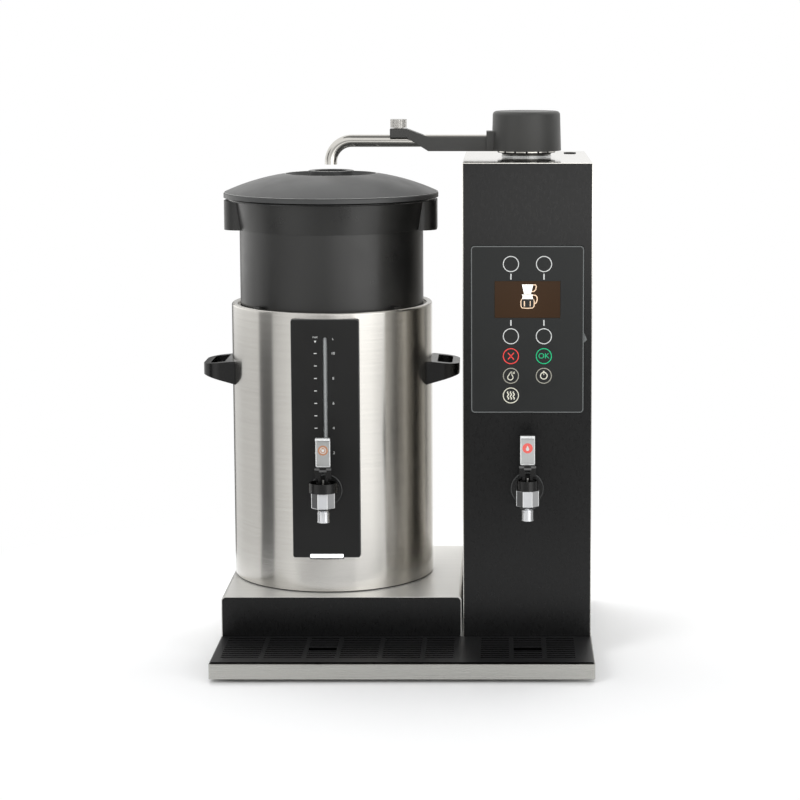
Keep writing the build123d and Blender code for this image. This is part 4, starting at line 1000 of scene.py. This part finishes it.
def seen_directly(tree):
    """1 for rays that show the surroundings as they are: camera, mirror and glass rays."""
    rays = tree.nodes.new("ShaderNodeLightPath")
    seen = rays.outputs["Is Camera Ray"]
    for kind in ("Is Glossy Ray", "Is Transmission Ray"):
        both = tree.nodes.new("ShaderNodeMath")
        both.operation = "MAXIMUM"
        tree.links.new(seen, both.inputs[0])
        tree.links.new(rays.outputs[kind], both.inputs[1])
        seen = both.outputs[0]
    return seen


FADE = (0.33, 0.95)  # from the origin, where the floor starts and ends turning into the backdrop
FLOOR = 9.0  # half the floor's side


def floor_material():
    """A matt white floor that keeps the object's shadow and turns into the backdrop further out."""
    finish = Finish("floor", (0.93, 0.93, 0.93), 0.9, Specular_IOR_Level=0.0)
    finish.vary_color(finish.noise(finish.place(), (3.0, 3.0, 3.0)), 0.01)
    distance = finish.feed(finish.node("VectorMath", operation="LENGTH"), (finish.place(),))
    far = finish.spread(distance.outputs["Value"], 0.0, 1.0, FADE)
    share = finish.maths("MULTIPLY", far, seen_directly(finish.tree))
    white = finish.node("Emission")
    mix = finish.node("MixShader")
    finish.link(share, mix.inputs[0])
    finish.link(finish.shader.outputs[0], mix.inputs[1])
    finish.link(white.outputs[0], mix.inputs[2])
    finish.link(mix.outputs[0], finish.tree.nodes["Material Output"].inputs["Surface"])
    return finish.material


stage_plane(
    "floor",
    [(-FLOOR, -FLOOR, 0), (FLOOR, -FLOOR, 0), (FLOOR, FLOOR, 0), (-FLOOR, FLOOR, 0)],
    floor_material(),
)


def gloss_only(obj):
    """A studio panel that only reflections see, so it neither blocks the view nor the light."""
    obj.visible_camera = obj.visible_diffuse = obj.visible_shadow = False
    obj.visible_transmission = obj.visible_volume_scatter = False


# Cards round the object for metal and gloss to show. Each row: degrees from straight ahead, to the
# right of the viewer; distance from the urn's axis; brightness low down; brightness higher up.
# The first levels were worked out from brightness read off the photograph across the urn and the
# basket, and later ones were adjusted against more such readings.
SURROUNDINGS = (
    (-180, 0.75, 1.00, 0.60), (-160, 0.75, 1.00, 0.60), (-157, 0.75, 0.15, 0.25),
    (-145, 0.75, 0.15, 0.30), (-139, 0.75, 0.78, 1.30), (-125, 0.75, 0.76, 1.35),
    (-110, 0.75, 0.70, 1.30), (-95, 0.75, 0.72, 1.15), (-80.5, 0.75, 0.72, 1.00),
    (-78.5, 0.75, 0.12, 0.70), (-70, 0.75, 0.10, 0.60), (-62, 0.75, 0.12, 0.60),
    (-60, 0.75, 0.66, 0.65), (-50, 0.75, 0.78, 0.75), (-40, 0.75, 0.88, 0.90),
    (-30, 0.78, 0.70, 1.00), (-20, 0.85, 0.50, 1.05), (-8, 1.00, 0.40, 1.00),
    (0, 1.15, 0.40, 1.00), (6, 1.30, 0.42, 1.70), (13, 1.40, 0.45, 2.80),
    (20, 1.40, 0.50, 2.70), (25, 1.40, 0.55, 2.40), (27, 1.40, 1.40, 2.40),
    (36, 1.35, 1.40, 2.40), (45, 1.20, 1.32, 2.40), (53, 1.05, 1.02, 2.30),
    (59, 0.95, 0.90, 2.20), (62, 0.90, 0.28, 2.15), (66, 0.85, 0.32, 2.00),
    (70, 0.83, 0.37, 0.30), (74, 0.80, 0.42, 0.14), (84, 0.75, 0.30, 0.30),
    (92, 0.75, 0.60, 0.60), (105, 0.75, 0.80, 0.85), (125, 0.75, 0.95, 0.95),
    (150, 0.75, 1.00, 0.80), (180, 0.75, 1.00, 0.60),
)
# Which brightness holds at a height: the row's low or high one, its low one but white at the back,
# white everywhere, or a dark ceiling
LOW, HIGH, LOW_OR_BACK, WHITE, CEILING = range(5)
CEILING_LEVEL = 0.25
BACK = 100  # degrees from straight ahead where the cards behind the object begin
# The cards from bottom to top: share of their distance, height, and the brightness that holds
# there. They curve onto the floor towards the object.
CARD_ROWS = (
    (0.72, 0.002, LOW), (0.94, 0.010, LOW), (1.0, 0.05, LOW), (1.0, 0.38, LOW),
    (1.0, 0.56, HIGH), (1.0, 0.70, HIGH), (1.0, 0.80, LOW_OR_BACK), (1.0, 1.00, LOW_OR_BACK),
    (1.0, 1.20, WHITE), (1.0, 2.36, WHITE), (0.95, 2.40, CEILING), (0.0, 2.40, CEILING),
)


def surroundings():
    """The cards as one mesh, whose points carry their brightness."""
    corners, levels, faces = [], [], []
    rows = len(CARD_ROWS)
    for degrees, radius, low, high in SURROUNDINGS:
        a = math.radians(degrees)
        for share, z, level in CARD_ROWS:
            out = radius * share
            corners.append((urn_centre.x + out * math.sin(a), urn_centre.y - out * math.cos(a), z))
            low_or_back = 1.0 if abs(degrees) > BACK else low
            levels.append((low, high, low_or_back, 1.0, CEILING_LEVEL)[level])
    for i in range(len(SURROUNDINGS) - 1):
        for k in range(rows - 1):
            n = i * rows + k
            faces.append((n, n + rows, n + rows + 1, n + 1))
    data = bpy.data.meshes.new("surroundings")
    data.from_pydata(corners, [], faces)
    data.attributes.new("level", "FLOAT", "POINT").data.foreach_set("value", levels)

    finish = Finish("surroundings", (0.0, 0.0, 0.0), 1.0, Specular_IOR_Level=0.0)
    finish.set("Emission Color", (1.0, 0.995, 0.98, 1.0))
    level = finish.node("Attribute", attribute_name="level").outputs["Fac"]
    finish.link(level, finish.shader.inputs["Emission Strength"])
    data.materials.append(finish.material)
    obj = bpy.data.objects.new("surroundings", data)
    bpy.context.scene.collection.objects.link(obj)
    gloss_only(obj)


surroundings()


def soft_light(name, place, target, size, power):
    """A rectangular lamp that reflections don't show."""
    data = bpy.data.lights.new(name, "AREA")
    data.shape = "RECTANGLE"
    data.size, data.size_y = size
    data.energy = power
    light = bpy.data.objects.new(name, data)
    light.location = place
    light.rotation_euler = (Vector(target) - Vector(place)).to_track_quat("-Z", "Y").to_euler()
    light.visible_glossy = False
    bpy.context.scene.collection.objects.link(light)


object_middle = (0.0, 0.0, 0.4)
soft_light("key", (-2.2, -2.6, 2.4), object_middle, (1.6, 2.2), 50)
soft_light("fill", (2.6, -2.4, 1.4), object_middle, (1.2, 2.2), 32)
soft_light("top", (0.0, 0.9, 2.4), (0.0, 0.0, 0.1), (2.2, 1.4), 45)


def studio_world():
    """White for the camera, gloss and glass, and a softer level for the light that it casts."""
    world = bpy.data.worlds.new("studio")
    world.use_nodes = True
    bpy.context.scene.world = world
    tree = world.node_tree
    tree.nodes.clear()
    backdrop = tree.nodes.new("ShaderNodeBackground")
    backdrop.inputs["Strength"].default_value = 1.0
    backdrop.inputs["Color"].default_value = (1.0, 1.0, 1.0, 1.0)
    sky = tree.nodes.new("ShaderNodeBackground")
    sky.inputs["Color"].default_value = (0.98, 0.99, 1.0, 1.0)
    sky.inputs["Strength"].default_value = 0.56
    mix = tree.nodes.new("ShaderNodeMixShader")
    output = tree.nodes.new("ShaderNodeOutputWorld")
    tree.links.new(seen_directly(tree), mix.inputs[0])
    tree.links.new(sky.outputs[0], mix.inputs[1])
    tree.links.new(backdrop.outputs[0], mix.inputs[2])
    tree.links.new(mix.outputs[0], output.inputs["Surface"])


studio_world()

# ---------------------------------------------------------------- camera

# It looks down a little, and its small shift frames the object as in the photograph
pitch = math.radians(7.296)
view = Vector((0.0, math.cos(pitch), -math.sin(pitch)))
camera_data = bpy.data.cameras.new("camera")
camera_data.lens = 99.90
camera_data.shift_x, camera_data.shift_y = -0.13, -0.10
camera = bpy.data.objects.new("camera", camera_data)
camera.location = (0.1693, -3.3982, 0.9380)
camera.rotation_euler = view.to_track_quat("-Z", "Y").to_euler()
bpy.context.scene.collection.objects.link(camera)
bpy.context.scene.camera = camera
bpy.context.scene.view_settings.view_transform = "Standard"
